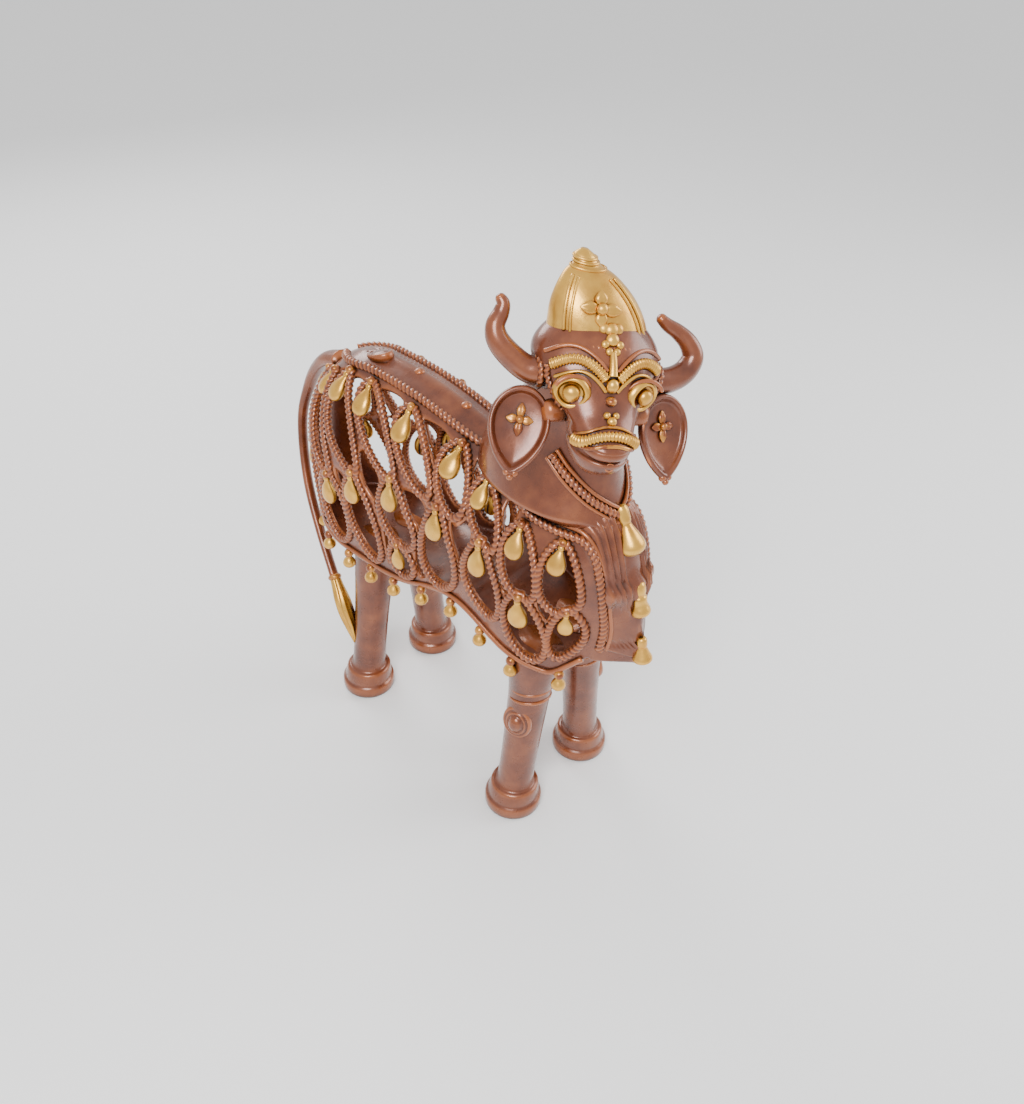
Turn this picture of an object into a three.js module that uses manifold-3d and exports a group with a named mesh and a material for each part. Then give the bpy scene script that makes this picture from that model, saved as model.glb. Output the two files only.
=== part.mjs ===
// Cast brass figure of the cow Kamadhenu: an openwork body hung with bells, and a head turned
// to its right. Millimetres, +Z up, the feet stand on z = 0 and the cow faces -Y, so that its
// right flank faces -X. The whole figure is one casting.
import * as THREE from "three";
import { mergeVertices } from "three/addons/utils/BufferGeometryUtils.js";
import Module from "manifold-3d";

const wasm = await Module();
wasm.setup();

// Driving dimensions
const BARREL_HALF_WIDTH = 32;
const BACK_HEIGHT = 197;
const BACK_HIGHEST_Y = 49;
const BACK_SAG = 10;
const WITHERS_Y = -16;
const WAIST_Z = 146;
const REAR_Y = 60;
const REAR_RADIUS = 46;
const REAR_WRAP = 38;
const SHOULDER_Y = -45;
const KEEL_Y = -101;
const CHEST_TOP_Y = -74;
const CHEST_FALL = 60;
const HEM_Z = 98;
const HEM_RISE = 14;
const BELLY_SAG = 3;
const WALL = 3;
const BORDER_LIFT = 1.6;
const ROPE_LIFT = 1.2;

const HOOF_RADIUS = 14.2;
const LEG_RADIUS = 9;
const LEG_TOP_Z = 112;
const LEGS = [
  { foot: [-26, -57], top: -15, thigh: 12.5 },
  { foot: [26, -57], top: 15, thigh: 12.5 },
  { foot: [-24, 57], top: -12, thigh: 11.5 },
  { foot: [25.5, 57], top: 13, thigh: 11.5 },
];

const HEAD_TURN = THREE.MathUtils.degToRad(33.2);
const HEAD_TILT = THREE.MathUtils.degToRad(9);
const HEAD_AT = new THREE.Vector3(-0.9, -57.8, 227.2);

const ROPE_RADIUS = 1.9;
const LOOP_POINTS = 7;

// The middle of the box round the whole figure, so that the origin lies under it
const BOX_MIDDLE = [-3.195, 9.675];

// Small helpers
const clamp = (value, low, high) => Math.min(Math.max(value, low), high);
const mix = (a, b, t) => a + (b - a) * t;
const vec = (x, y, z) => new THREE.Vector3(x, y, z);

function smooth(low, high, value) {
  const t = clamp((value - low) / (high - low), 0, 1);
  return t * t * (3 - 2 * t);
}

// Reads a value out of a short list of [position, value] pairs, joined by straight lines
function along(pairs, position) {
  const last = pairs.length - 1;
  if (position <= pairs[0][0]) return pairs[0][1];
  for (let i = 1; i <= last; i += 1) {
    const [p0, v0] = pairs[i - 1];
    const [p1, v1] = pairs[i];
    if (position <= p1) return mix(v0, v1, (position - p0) / (p1 - p0));
  }
  return pairs[last][1];
}

function toSolid(positions, triangles) {
  const geometry = new THREE.BufferGeometry();
  geometry.setAttribute("position", new THREE.Float32BufferAttribute(positions, 3));
  geometry.setIndex(triangles);
  const merged = mergeVertices(geometry, 1e-4);
  const index = [];
  const source = merged.index.array;
  for (let i = 0; i < source.length; i += 3) {
    const [a, b, c] = [source[i], source[i + 1], source[i + 2]];
    if (a !== b && b !== c && c !== a) index.push(a, b, c);
  }
  const vertProperties = new Float32Array(merged.attributes.position.array);
  const make = (order) => new wasm.Manifold(new wasm.Mesh({
    numProp: 3, vertProperties, triVerts: new Uint32Array(order),
  }));
  const solid = make(index);
  return solid.volume() > 0 ? solid : make(index.reverse());
}

// A closed skin through rings of points. The rings' points run anticlockwise seen from the end.
function loft(rings, { capped = true, looped = false } = {}) {
  const count = rings[0].length;
  const positions = rings.flat().flatMap((p) => [p.x, p.y, p.z]);
  const triangles = [];
  const spans = looped ? rings.length : rings.length - 1;
  for (let i = 0; i < spans; i += 1) {
    const next = (i + 1) % rings.length;
    for (let j = 0; j < count; j += 1) {
      const k = (j + 1) % count;
      const [a, b] = [i * count + j, i * count + k];
      const [c, d] = [next * count + j, next * count + k];
      triangles.push(a, b, d, a, d, c);
    }
  }
  if (capped && !looped) {
    for (let j = 1; j < count - 1; j += 1) {
      triangles.push(0, j + 1, j);
      const end = (rings.length - 1) * count;
      triangles.push(end, end + j, end + j + 1);
    }
  }
  return toSolid(positions, triangles);
}

// A bar of diamond or round section along a list of { at, radius, normal } stations
function bar(stations, { sides = 4, looped = false, flat = 1 } = {}) {
  const last = stations.length - 1;
  const rings = stations.map(({ at, radius, normal }, i) => {
    const before = stations[looped ? (i + last) % (last + 1) : Math.max(i - 1, 0)].at;
    const after = stations[looped ? (i + 1) % (last + 1) : Math.min(i + 1, last)].at;
    const forward = after.clone().sub(before).normalize();
    const out = normal.clone().addScaledVector(forward, -normal.dot(forward)).normalize();
    const across = forward.clone().cross(out);
    return Array.from({ length: sides }, (_, j) => {
      const angle = (2 * Math.PI * j) / sides;
      return at.clone()
        .addScaledVector(out, radius * flat * Math.cos(angle))
        .addScaledVector(across, radius * Math.sin(angle));
    });
  });
  return loft(rings, { looped });
}

// A turned form: profile of [along, radius] pairs about a line from a point in a direction
function turned(profile, at, direction, side, { sides = 6, flat = 1 } = {}) {
  const axis = direction.clone().normalize();
  const across = side.clone().addScaledVector(axis, -side.dot(axis)).normalize();
  const out = across.clone().cross(axis);
  const rings = profile.map(([distance, radius]) => Array.from({ length: sides }, (_, j) => {
    const angle = (2 * Math.PI * j) / sides;
    return at.clone()
      .addScaledVector(axis, distance)
      .addScaledVector(across, radius * Math.cos(angle))
      .addScaledVector(out, -radius * flat * Math.sin(angle));
  }));
  return loft(rings);
}

const join = (solids) => solids.reduce((whole, piece) => whole.add(piece));

// The body's skin. u runs along the flank from the keel of the chest and round the rump to the
// tail, and v runs down it: 0 on the spine, 1 at the waist, 2 at the hem and 3 under the belly.
const TAIL_U = REAR_Y + (REAR_WRAP * Math.PI) / 2;

function barrelWidth(u) {
  const reach = clamp((SHOULDER_Y - u) / (SHOULDER_Y - KEEL_Y), 0, 1);
  return BARREL_HALF_WIDTH * (1 - reach * reach) ** 0.85;
}

function barrelTop(u) {
  const dip = (BACK_HIGHEST_Y - clamp(u, WITHERS_Y, BACK_HIGHEST_Y)) / REAR_Y;
  const fall = clamp((CHEST_TOP_Y - u) / (CHEST_TOP_Y - KEEL_Y), 0, 1);
  return BACK_HEIGHT - BACK_SAG * dip * dip - CHEST_FALL * fall ** 2.2;
}

function hemHeight(u) {
  const arch = HEM_RISE * Math.exp(-(((u + 15) / 28) ** 2));
  return HEM_Z + arch + 14 * smooth(-70, -88, u);
}

// A place on the skin, or under it by the inset. Towards the keel an inset place also moves back,
// so that the wall keeps its thickness where the two flanks meet.
function skin(u, v, inset = 0, side = -1) {
  const station = Math.min(u, REAR_Y);
  const front = clamp((SHOULDER_Y - u) / (SHOULDER_Y - KEEL_Y), 0, 1);
  const turn = clamp((u - REAR_Y) / REAR_WRAP, 0, Math.PI / 2);
  const arch = clamp(v, 0, 1) * (Math.PI / 2);
  const lower = clamp(v - 1, 0, 1);
  const belly = clamp(v - 2, 0, 1) * (Math.PI / 2);
  const [top, hem] = [barrelTop(station), hemHeight(station)];
  const waist = Math.min(WAIST_Z, (top + hem) / 2);
  const spread = Math.sin(arch) * Math.cos(belly);
  const narrow = 1 - inset / BARREL_HALF_WIDTH;
  const width = barrelWidth(station) * narrow * spread * (1 - 0.05 * lower ** 2);
  const reach = (REAR_RADIUS - inset) * spread * (1 - 0.1 * lower ** 2);
  const z = waist + (top - waist - inset) * Math.cos(arch)
    - (waist - hem - inset) * lower - BELLY_SAG * Math.sin(belly);
  const y = station + reach * Math.sin(turn) + 1.6 * inset * front * front;
  return vec(side * width * Math.cos(turn), y, z);
}

// The way out of the skin, the way down along it and the way along the flank at a place on it
function skinFrame(u, v, side) {
  const step = 0.5;
  const run = skin(u + step, v, 0, side).sub(skin(u - step, v, 0, side)).normalize();
  const down = skin(u, v + 0.02, 0, side).sub(skin(u, v - 0.02, 0, side)).normalize();
  const out = down.clone().cross(run).multiplyScalar(-side).normalize();
  return { run, down, out };
}

// The openwork: each loop of rope hangs from its apex to its foot, given as [u, v] on the skin
const LOOPS = [
  { apex: [104.5, 0.5], foot: [97, 1.12], half: 8.5 },
  { apex: [98, 1.1], foot: [88, 1.92], half: 9 },
  { apex: [89, 0.4], foot: [69, 1.14], half: 9.5 },
  { apex: [68, 1.1], foot: [64, 1.92], half: 12 },
  { apex: [73, 0.3], foot: [50, 0.97], half: 11 },
  { apex: [50, 0.92], foot: [38, 1.9], half: 12 },
  { apex: [52, 0.29], foot: [25, 0.84], half: 11.5 },
  { apex: [23, 0.8], foot: [15, 1.5], half: 13 },
  { apex: [19, 1.46], foot: [15, 1.92], half: 9 },
  { apex: [25, 0.3], foot: [3, 0.8], half: 12 },
  { apex: [-7, 0.76], foot: [-9, 1.92], half: 12.5 },
  { apex: [-6, 0.27], foot: [-15, 0.8], half: 10.5 },
  { apex: [-26, 0.36], foot: [-38, 0.86], half: 9.5 },
  { apex: [-34, 0.82], foot: [-37, 1.72], half: 12.5 },
  { apex: [-51, 0.53], foot: [-58, 1.1], half: 10 },
  { apex: [-57, 1.05], foot: [-62, 1.9], half: 11.5 },
  { apex: [-70, 0.54], foot: [-76, 1.16], half: 9.5 },
  { apex: [-77, 1.12], foot: [-77.5, 1.82], half: 8.2 },
];

// The openings left between neighbouring loops, as corners [u, v]
const GAPS = [
  [[95, 0.5], [98, 0.55], [93.2, 0.8], [91.5, 1.03], [84, 1.04], [91, 0.8]],
  [[78.5, 1.16], [89, 1.16], [83, 1.42], [80.5, 1.66], [79, 1.5]],
  [[79, 0.4], [85, 0.4], [78, 0.58]],
  [[57, 1.1], [62.5, 1.04], [58.5, 1.25]],
  [[57.5, 0.36], [66.5, 0.36], [59.5, 0.5], [55, 0.57]],
  [[46, 0.82], [43, 0.94], [37, 1.08], [33.5, 1.05], [33, 0.9], [41, 0.79]],
  [[32.5, 1.14], [35.5, 1.16], [31, 1.4], [29.5, 1.6], [28, 1.8], [27, 1.8], [28.5, 1.5]],
  [[32, 0.33], [45, 0.33], [36.5, 0.47], [31, 0.55]],
  [[2, 0.89], [15, 0.88], [7, 1.08], [5, 1.2]],
  [[5.5, 1.52], [7.8, 1.56], [6.5, 1.85], [3, 1.85]],
  [[1.5, 0.34], [16, 0.34], [7, 0.46], [1.6, 0.53]],
  [[-20, 0.34], [-16, 0.32], [-19.8, 0.44]],
  [[-24.5, 0.76], [-19, 0.88], [-15.5, 0.88], [-20.5, 1.2], [-21, 1.5], [-23.4, 1.5], [-23.6, 1.2],
    [-27, 0.92]],
  [[-45, 0.5], [-40, 0.48], [-43.5, 0.66]],
  [[-43, 0.88], [-41.5, 0.92], [-45.5, 1.1], [-48, 1.16], [-48.5, 1.1]],
  [[-69.2, 1.14], [-65.2, 1.08], [-68.6, 1.26]],
];

// How far down the skin the smooth back and neck reach, where the border of the net runs
const NET_TOP = [
  [-101, 0.85], [-86, 0.66], [-77, 0.5], [-66, 0.48], [-53, 0.46], [-42, 0.4], [-28, 0.28], [-12, 0.2],
  [8, 0.22], [60, 0.23], [112, 0.36], [120, 0.38],
];
const NET_FRONT = [-101, -97.5, -92, -86];
const NET_STATIONS = [-86, -77, -66, -54, -42, -29, -15, 0, 15, 29, 42, 54, 66, 78, 89, 100, 110];
const NET_REAR = [110, 115, TAIL_U];
const NET_SIDE_STEPS = 4;

// A place on the middle line of a loop, which hangs down at first and leans towards its foot later
const FLANK_DROP = 55;
const loopLength = ({ apex, foot }) => Math.hypot((foot[0] - apex[0]) * 0.6, (foot[1] - apex[1]) * FLANK_DROP);
const loopAxis = ({ apex, foot }, fall) => [mix(apex[0], foot[0], fall ** 1.4), mix(apex[1], foot[1], fall)];

// The opening of a loop: a teardrop round a bell, a tongue of the net that hangs from the apex
const BELL = { shoulder: [4.2, 1.3], belly: [12.5, 4.2], lip: [17, 1.8] };

function loopPlaces(loop) {
  const length = loopLength(loop);
  const size = Math.min((loop.half - ROPE_RADIUS) / 9, 1);
  const teardrop = Array.from({ length: LOOP_POINTS }, (_, i) => {
    const angle = mix(0.95, 2 * Math.PI - 0.95, i / (LOOP_POINTS - 1));
    const swell = Math.sin(angle) * Math.abs(Math.sin(angle / 2)) ** 0.4;
    const fall = mix(ROPE_RADIUS / length, 1 - ROPE_RADIUS / length, (1 - Math.cos(angle)) / 2);
    const [u, v] = loopAxis(loop, fall);
    return { u: u + (loop.half - ROPE_RADIUS) * swell, v, lift: ROPE_LIFT, depth: WALL };
  });
  const bell = (place, across, lift, depth) => {
    const [u, v] = loopAxis(loop, (place[0] * size) / length);
    return { u: u + across * place[1] * size, v, lift, depth };
  };
  const { shoulder, belly, lip } = BELL;
  const opening = [
    ...teardrop,
    bell(shoulder, -1, ROPE_LIFT, WALL), bell(belly, -1, 1.4, 1), bell(lip, -1, 1.6, 0.6),
    bell(lip, 1, 1.6, 0.6), bell(belly, 1, 1.4, 1), bell(shoulder, 1, ROPE_LIFT, WALL),
  ];
  return { opening, boss: [bell(belly, 0, 4.2, 0.6)] };
}

const anticlockwise = (places) => {
  const area = THREE.ShapeUtils.area(places.map(({ u, v }) => new THREE.Vector2(u, v)));
  return area > 0 ? places : [...places].reverse();
};

// Rows of a column of skin: over the back to the net, and from the net's hem under the belly
const upperRows = (u) => [0, 0.5, 1].map((part, i) => (
  { u, v: part * along(NET_TOP, u), lift: i === 2 ? BORDER_LIFT : 0, depth: WALL }
));
const lowerRows = (u) => [2, 2.5, 3].map((v) => ({ u, v, lift: 0, depth: WALL }));
const sideRows = (u) => Array.from({ length: NET_SIDE_STEPS - 1 }, (_, i) => (
  { u, v: mix(along(NET_TOP, u), 2, (i + 1) / NET_SIDE_STEPS), lift: 0, depth: WALL }
));

// The hollow body as one thick skin: an outer and an inner face, and walls round every opening.
// The bosses are single places where the skin stands proud.
function shell(openings, bosses) {
  const positions = [];
  const triangles = [];
  const layer = (places, side, inner) => places.map(({ u, v, lift, depth }) => {
    const at = skin(u, v, inner ? depth : -lift, side);
    positions.push(at.x, at.y, at.z);
    return positions.length / 3 - 1;
  });
  const face = (a, b, c, turned) => triangles.push(...(turned ? [a, c, b] : [a, b, c]));
  for (const side of [-1, 1]) {
    const mirrored = side > 0;
    const both = [false, true];
    const grid = (columns) => both.forEach((inner) => {
      const rows = columns.map((column) => layer(column, side, inner));
      for (let i = 0; i < rows.length - 1; i += 1) {
        for (let j = 0; j < rows[i].length - 1; j += 1) {
          const [a, b, c, d] = [rows[i][j], rows[i + 1][j], rows[i + 1][j + 1], rows[i][j + 1]];
          face(a, b, c, mirrored !== inner);
          face(a, c, d, mirrored !== inner);
        }
      }
    });
    const whole = (u) => [...upperRows(u), ...sideRows(u), ...lowerRows(u)];
    grid(NET_FRONT.map(whole));
    grid(NET_REAR.map(whole));
    grid(NET_STATIONS.map(upperRows));
    grid(NET_STATIONS.map(lowerRows));

    const [first, last] = [NET_STATIONS[0], NET_STATIONS[NET_STATIONS.length - 1]];
    const outline = [
      ...NET_STATIONS.map((u) => upperRows(u)[2]),
      ...sideRows(last),
      ...[...NET_STATIONS].reverse().map((u) => lowerRows(u)[0]),
      ...sideRows(first).reverse(),
    ];
    // The plan is bent a little, because a triangulation drops points on straight edges
    const flat = (places) => places.map(({ u, v }) => (
      new THREE.Vector2(u * (1 + 0.004 * (v - 1.1) ** 2), v * 50 - 0.0005 * u * u)
    ));
    const inside = [...openings, ...bosses];
    const places = [outline, ...inside].flat();
    const plan = flat(places);
    const faces = THREE.ShapeUtils.triangulateShape(flat(outline), inside.map(flat));
    both.forEach((inner) => {
      const ids = layer(places, side, inner);
      faces.forEach((corners) => {
        const backward = THREE.ShapeUtils.area(corners.map((k) => plan[k])) < 0;
        const [a, b, c] = corners.map((k) => ids[k]);
        face(a, b, c, (mirrored !== inner) !== backward);
      });
    });
    openings.forEach((opening) => {
      const [front, back] = both.map((inner) => layer(opening, side, inner));
      opening.forEach((_, k) => {
        const next = (k + 1) % opening.length;
        face(front[k], front[next], back[next], mirrored);
        face(front[k], back[next], back[k], mirrored);
      });
    });
  }
  return toSolid(positions, triangles);
}

const NET_LOOPS = LOOPS.map(loopPlaces);
const NET_OPENINGS = [
  ...NET_LOOPS.map(({ opening }) => anticlockwise(opening)),
  ...GAPS.map((corners) => anticlockwise(corners.map(([u, v]) => ({ u, v, lift: 0, depth: WALL })))),
];

// The fringe of small drops along the hem
const HEM_DROPS = [97, 76, 58, 41, 24, 4, -16, -35, -54, -76];
const DROP_PROFILE = [[-1, 2.4], [6, 3.4], [10, 1.2]];

function hemDrop(u, side) {
  const { out, run } = skinFrame(u, 1.95, side);
  const at = skin(u, 2, 0.5, side).addScaledVector(out, -1);
  return turned(DROP_PROFILE, at, vec(0, 0, -1), run.clone().add(out), { sides: 4 });
}

// Legs: round columns on two-tiered hooves, splayed outwards to the floor. They end within the
// thickness of the belly's wall.
const HOOF_PROFILE = [
  [0, HOOF_RADIUS], [6.5, HOOF_RADIUS - 0.2], [7.5, 12.8], [14, 11.6], [15.5, 9.8],
];

function leg({ foot, top, thigh }) {
  const sides = 10;
  const hip = hemHeight(foot[1]);
  const shaft = [[62, LEG_RADIUS + 0.6], [hip - 8, thigh - 0.6], [hip, thigh]];
  const rings = [...HOOF_PROFILE, ...shaft].map(([z, radius]) => {
    const x = mix(foot[0], top, clamp((z - 8) / (LEG_TOP_Z - 12), 0, 1));
    return Array.from({ length: sides }, (_, j) => {
      const angle = (2 * Math.PI * j) / sides;
      const y = foot[1] + radius * Math.sin(angle);
      return vec(x + radius * Math.cos(angle), y, z < hip ? z : hemHeight(y) + 0.2);
    });
  });
  return loft(rings);
}

// The round boss with rings on the outer side of each front leg's knee
function kneeBoss({ foot, top }) {
  const side = Math.sign(foot[0]);
  const x = mix(foot[0], top, 0.5);
  const at = vec(x + side * 5.5, foot[1] - 1, 60);
  const profile = [[0, 9.4], [4.3, 9.0], [4.6, 5.0], [6.8, 3.6]];
  return turned(profile, at, vec(side, -0.25, 0.1), vec(0, 0, 1), { sides: 8, flat: 0.8 });
}

// Neck: half of the seam where it grows out of the back, as places [u, v] from the front round
// its right side, and level rings of [z, half width, front y, widest y, back y] above it
const NECK_SEAM = [[-86, 0], [-83, 0.3], [-75, 0.44], [-60, 0.46], [-44, 0.38], [-30, 0.25], [-16, 0.13], [-8, 0]];
const NECK_MIDDLE_U = -46;
const NECK = [
  [180, 25.5, -82, -50, -8],
  [190, 22, -79, -45, -10],
  [202, 18, -77, -45, -18],
  [214, 15.3, -75, -46, -26],
  [228, 14, -72, -50, -34],
  [240, 13, -70, -54, -38],
];

function levelRing(halfWidth, front, widest, back, count, place) {
  return Array.from({ length: count }, (_, j) => {
    const angle = (2 * Math.PI * j) / count;
    const ahead = Math.cos(angle);
    const y = ahead > 0 ? mix(widest, front, ahead) : mix(widest, back, -ahead);
    return place(-halfWidth * Math.sin(angle), y);
  });
}

// The neck's underside lies within the body's wall, so it is closed in three steps that follow it
function neck() {
  const seam = (scale) => {
    const half = NECK_SEAM.map(([u, v]) => [mix(NECK_MIDDLE_U, u, scale), v * scale]);
    return [
      ...half.map(([u, v]) => skin(u, v, WALL / 2, -1)),
      ...half.slice(1, -1).reverse().map(([u, v]) => skin(u, v, WALL / 2, 1)),
    ];
  };
  const count = 2 * (NECK_SEAM.length - 1);
  const rings = NECK.map(([z, half, front, widest, back]) => (
    levelRing(half, front, widest, back, count, (x, y) => vec(x, y, z))
  ));
  return loft([seam(0.02), seam(0.5), seam(1), ...rings]);
}

// The head's own frame: x to its left, y to its back, z up, turned and tilted about HEAD_AT
function headPoint(x, y, z) {
  const rise = z - HEAD_AT.z;
  const across = x * Math.cos(HEAD_TILT) + rise * Math.sin(HEAD_TILT);
  const height = rise * Math.cos(HEAD_TILT) - x * Math.sin(HEAD_TILT);
  return vec(
    HEAD_AT.x + across * Math.cos(HEAD_TURN) + y * Math.sin(HEAD_TURN),
    HEAD_AT.y - across * Math.sin(HEAD_TURN) + y * Math.cos(HEAD_TURN),
    HEAD_AT.z + height,
  );
}

const headWay = (x, y, z) => headPoint(x, y, z).sub(headPoint(0, 0, 0));

const SKULL = [
  [210, 6, -34, -28, -20],
  [213, 9.5, -38, -27, -15],
  [217.5, 11.5, -40.5, -25, -10],
  [219.5, 11, -38.5, -24, -8],
  [223, 12.2, -41, -24, -6],
  [227, 13, -37, -20, 0],
  [232, 18, -30.5, -10, 8],
  [238, 23, -25.5, -3, 14],
  [244, 25, -22.5, -2, 16],
  [250, 22.5, -18.5, -1, 15],
  [256, 16, -12, 0, 12],
  [260, 8, -5, 1, 7],
];

function skull() {
  return loft(SKULL.map(([z, half, front, widest, back]) => (
    levelRing(half, front, widest, back, 12, (x, y) => headPoint(x, y, z))
  )));
}

// Crown: a mitre that leans to the head's right, rings of [z, half width, front, widest, back, lean]
const CROWN = [
  [247, 20.5, -15, 0, 13, 0.5],
  [253, 19.8, -12.5, 1, 12.5, -0.5],
  [260, 18, -9.5, 2, 12, -2.5],
  [266, 14.8, -6, 3, 11, -4.5],
  [271, 10.4, -1.5, 5, 10, -6.5],
  [273.5, 6.6, 1.5, 6, 10, -7.8],
  [274.5, 5, 2.8, 7, 10.5, -8.4],
  [277, 4, 4.4, 8, 11, -9.3],
  [279, 1.4, 6.8, 8, 9.4, -9.8],
];

function crown() {
  return loft(CROWN.map(([z, half, front, widest, back, lean]) => (
    levelRing(half, front, widest, back, 10, (x, y) => headPoint(x + lean, y, z))
  )));
}

// A flower of four petals laid on a surface: a low star with a high middle
function flower(at, up, across, out, length, rise) {
  const ring = (scale, height) => Array.from({ length: 8 }, (_, i) => {
    const angle = (i * Math.PI) / 4;
    const radius = scale * length * (i % 2 ? 0.36 : 1);
    return at.clone()
      .addScaledVector(up, radius * Math.cos(angle))
      .addScaledVector(across, radius * Math.sin(angle))
      .addScaledVector(out, height);
  });
  return loft([ring(0.9, -1), ring(1, rise * 0.4), ring(0.2, rise + 0.8)]);
}

// Horns: [x, y, z, radius] from the skull outwards with a collar near the root, the right one first
const HORNS = [
  [
    [-17, -5, 238, 5.8], [-20, -5.4, 237.4, 7.6], [-23.5, -6, 236.8, 5.4], [-27.9, -5, 237.7, 5], [-33.9, -3, 241.5, 4.7],
    [-38.2, -1, 245.7, 4.3], [-39.4, 1, 250, 3.7], [-37.6, 3, 254.2, 3.1], [-37.2, 4, 257.3, 2.6],
    [-38.8, 5, 259.6, 1.5],
  ],
  [
    [18, -5, 238, 5.8], [21.5, -5.4, 236.8, 7.6], [25.5, -6, 235.4, 5.4], [32.4, -5, 236.2, 5], [38.4, -3, 239.2, 4.7],
    [40.8, -1, 244.3, 4.3], [38.3, 1, 249, 3.7], [33.8, 3, 252.2, 3.1], [29, 4, 254.4, 2.6],
    [25.4, 5, 256.9, 1.6],
  ],
];

function horn(points) {
  const stations = points.map(([x, y, z, radius]) => (
    { at: headPoint(x, y, z), radius, normal: headWay(0, -1, 0) }
  ));
  return bar(stations, { sides: 6 });
}

// Ears: hanging leaves, hollowed in front inside a raised rim
const EAR = { x: 29, y: -17, z: 221, half: 11.5, up: 13.5, down: 20, tilt: 30, sweep: 15 };

function earPlace(side) {
  const [tilt, sweep] = [EAR.tilt, EAR.sweep].map(THREE.MathUtils.degToRad);
  const across = headWay(side * Math.cos(sweep), Math.sin(sweep), 0);
  const lean = headWay(0, Math.sin(tilt), Math.cos(tilt));
  const front = across.clone().cross(lean).multiplyScalar(side).normalize();
  const up = front.clone().cross(across).multiplyScalar(side).normalize();
  return { middle: headPoint(side * EAR.x, EAR.y, EAR.z), across, up, front };
}

function ear(side) {
  const count = 12;
  const { middle, across, up, front } = earPlace(side);
  const ring = (scale, depth) => Array.from({ length: count }, (_, j) => {
    const angle = (2 * Math.PI * j) / count;
    const [s, c] = [Math.sin(angle), Math.cos(angle)];
    const narrowing = c > 0 ? 1 : 1 - 0.35 * c * c;
    const height = c > 0 ? EAR.up * c : EAR.down * c;
    return middle.clone()
      .addScaledVector(across, EAR.half * scale * s * narrowing * (c < -0.98 ? 0.2 : 1))
      .addScaledVector(up, height * scale)
      .addScaledVector(front, depth);
  });
  const rings = [ring(0.1, -3.2), ring(0.88, -2), ring(1.02, 0.6), ring(0.9, 2.2), ring(0.72, -0.4), ring(0.1, -1)];
  return loft(side < 0 ? rings.map((r) => [...r].reverse()) : rings);
}

// The stub that holds the ear to the cheek
function earStub(side) {
  const { middle, up, across, front } = earPlace(side);
  const root = middle.clone().addScaledVector(across, -EAR.half + 2).addScaledVector(up, 6);
  return turned([[-2, 4], [8, 5]], root, headWay(-side, 0.35, 0), front, { sides: 5 });
}

function earFlower(side) {
  const { middle, up, across, front } = earPlace(side);
  const at = middle.clone().addScaledVector(front, -0.6).addScaledVector(up, 1);
  return flower(at, up, across, front, 6.4, 1.8);
}

// Where the front of the skull lies at a place seen from the front, in the head's frame
function faceY(x, z) {
  for (let i = 1; i < SKULL.length; i += 1) {
    const [z0, z1] = [SKULL[i - 1][0], SKULL[i][0]];
    if (z <= z1) {
      const t = clamp((z - z0) / (z1 - z0), 0, 1);
      const [half, front, widest] = [1, 2, 3].map((k) => mix(SKULL[i - 1][k], SKULL[i][k], t));
      const s = clamp(Math.abs(x) / half, 0, 0.999);
      return mix(widest, front, Math.sqrt(1 - s * s));
    }
  }
  return 0;
}

function eye(side) {
  const [x, z] = [side * 13.5, 237.2];
  const at = headPoint(x, faceY(x, z) + 1.5, z);
  const out = headWay(side * 0.42, -1, 0.05);
  const profile = [[-1, 6.6], [2, 5.8], [1.7, 4.2], [4.5, 1.9]];
  return turned(profile, at, out, headWay(0, 0, 1), { sides: 8, flat: 1.12 });
}

// A raised band on the face through places [x, z] seen from the front
function faceBand(places, radius, lift = 0.4) {
  const stations = places.map(([x, z]) => {
    const at = headPoint(x, faceY(x, z) - lift, z);
    return { at, radius, normal: headWay(x * 0.03, -1, 0.1) };
  });
  return bar(stations);
}

function brow(side) {
  const places = Array.from({ length: 6 }, (_, i) => {
    const t = i / 5;
    return [side * mix(2.2, 21, t), 239.5 + 8.6 * Math.sin(Math.PI * (0.1 + 0.78 * t)) ** 0.8];
  });
  return faceBand(places, 2.0);
}

// The drop of beads from the forehead to the muzzle, and the ribbed band over the mouth
const NOSE_BEADS = [
  [257, 1.8], [253, 3.8], [249.5, 1.6], [246, 1.4], [242, 2.9], [239, 1.7], [236.5, 2.7], [234, 1.6], [231, 2.6],
];

function faceOrnaments() {
  const nose = NOSE_BEADS.map(([z, radius]) => (
    { at: headPoint(0, faceY(0, z) - 0.3, z), radius, normal: headWay(0, -1, 0.1) }
  ));
  const moustache = Array.from({ length: 7 }, (_, i) => {
    const reach = mix(-1, 1, i / 6);
    return [reach * 11.8, 227.6 - 5.6 * Math.abs(reach) ** 2.2];
  });
  return join([bar(nose), faceBand(moustache, 2.1, 0.2)]);
}

function headband() {
  const stations = Array.from({ length: 9 }, (_, i) => {
    const angle = mix(-1.5, 1.5, i / 8);
    const [x, y] = [21.5 * Math.sin(angle), 1 - 17.5 * Math.cos(angle)];
    return { at: headPoint(x, y, 246.5 + 4.5 * Math.cos(angle)), radius: 1.8, normal: headWay(x, y, 8) };
  });
  return bar(stations);
}

// Chest: the V of two straps, the flutes that turn down from the shoulder and the three bells
const KEEL_BELLS = [
  { at: [0, -81.5, 183], way: [0, -0.5, -1], length: 21, radius: 6 },
  { at: [0, -94.5, 151], way: [0, -0.28, -1], length: 16, radius: 4.6 },
  { at: [0, -101, 124], way: [0, -0.2, -1], length: 12.5, radius: 4.4 },
];

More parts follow.
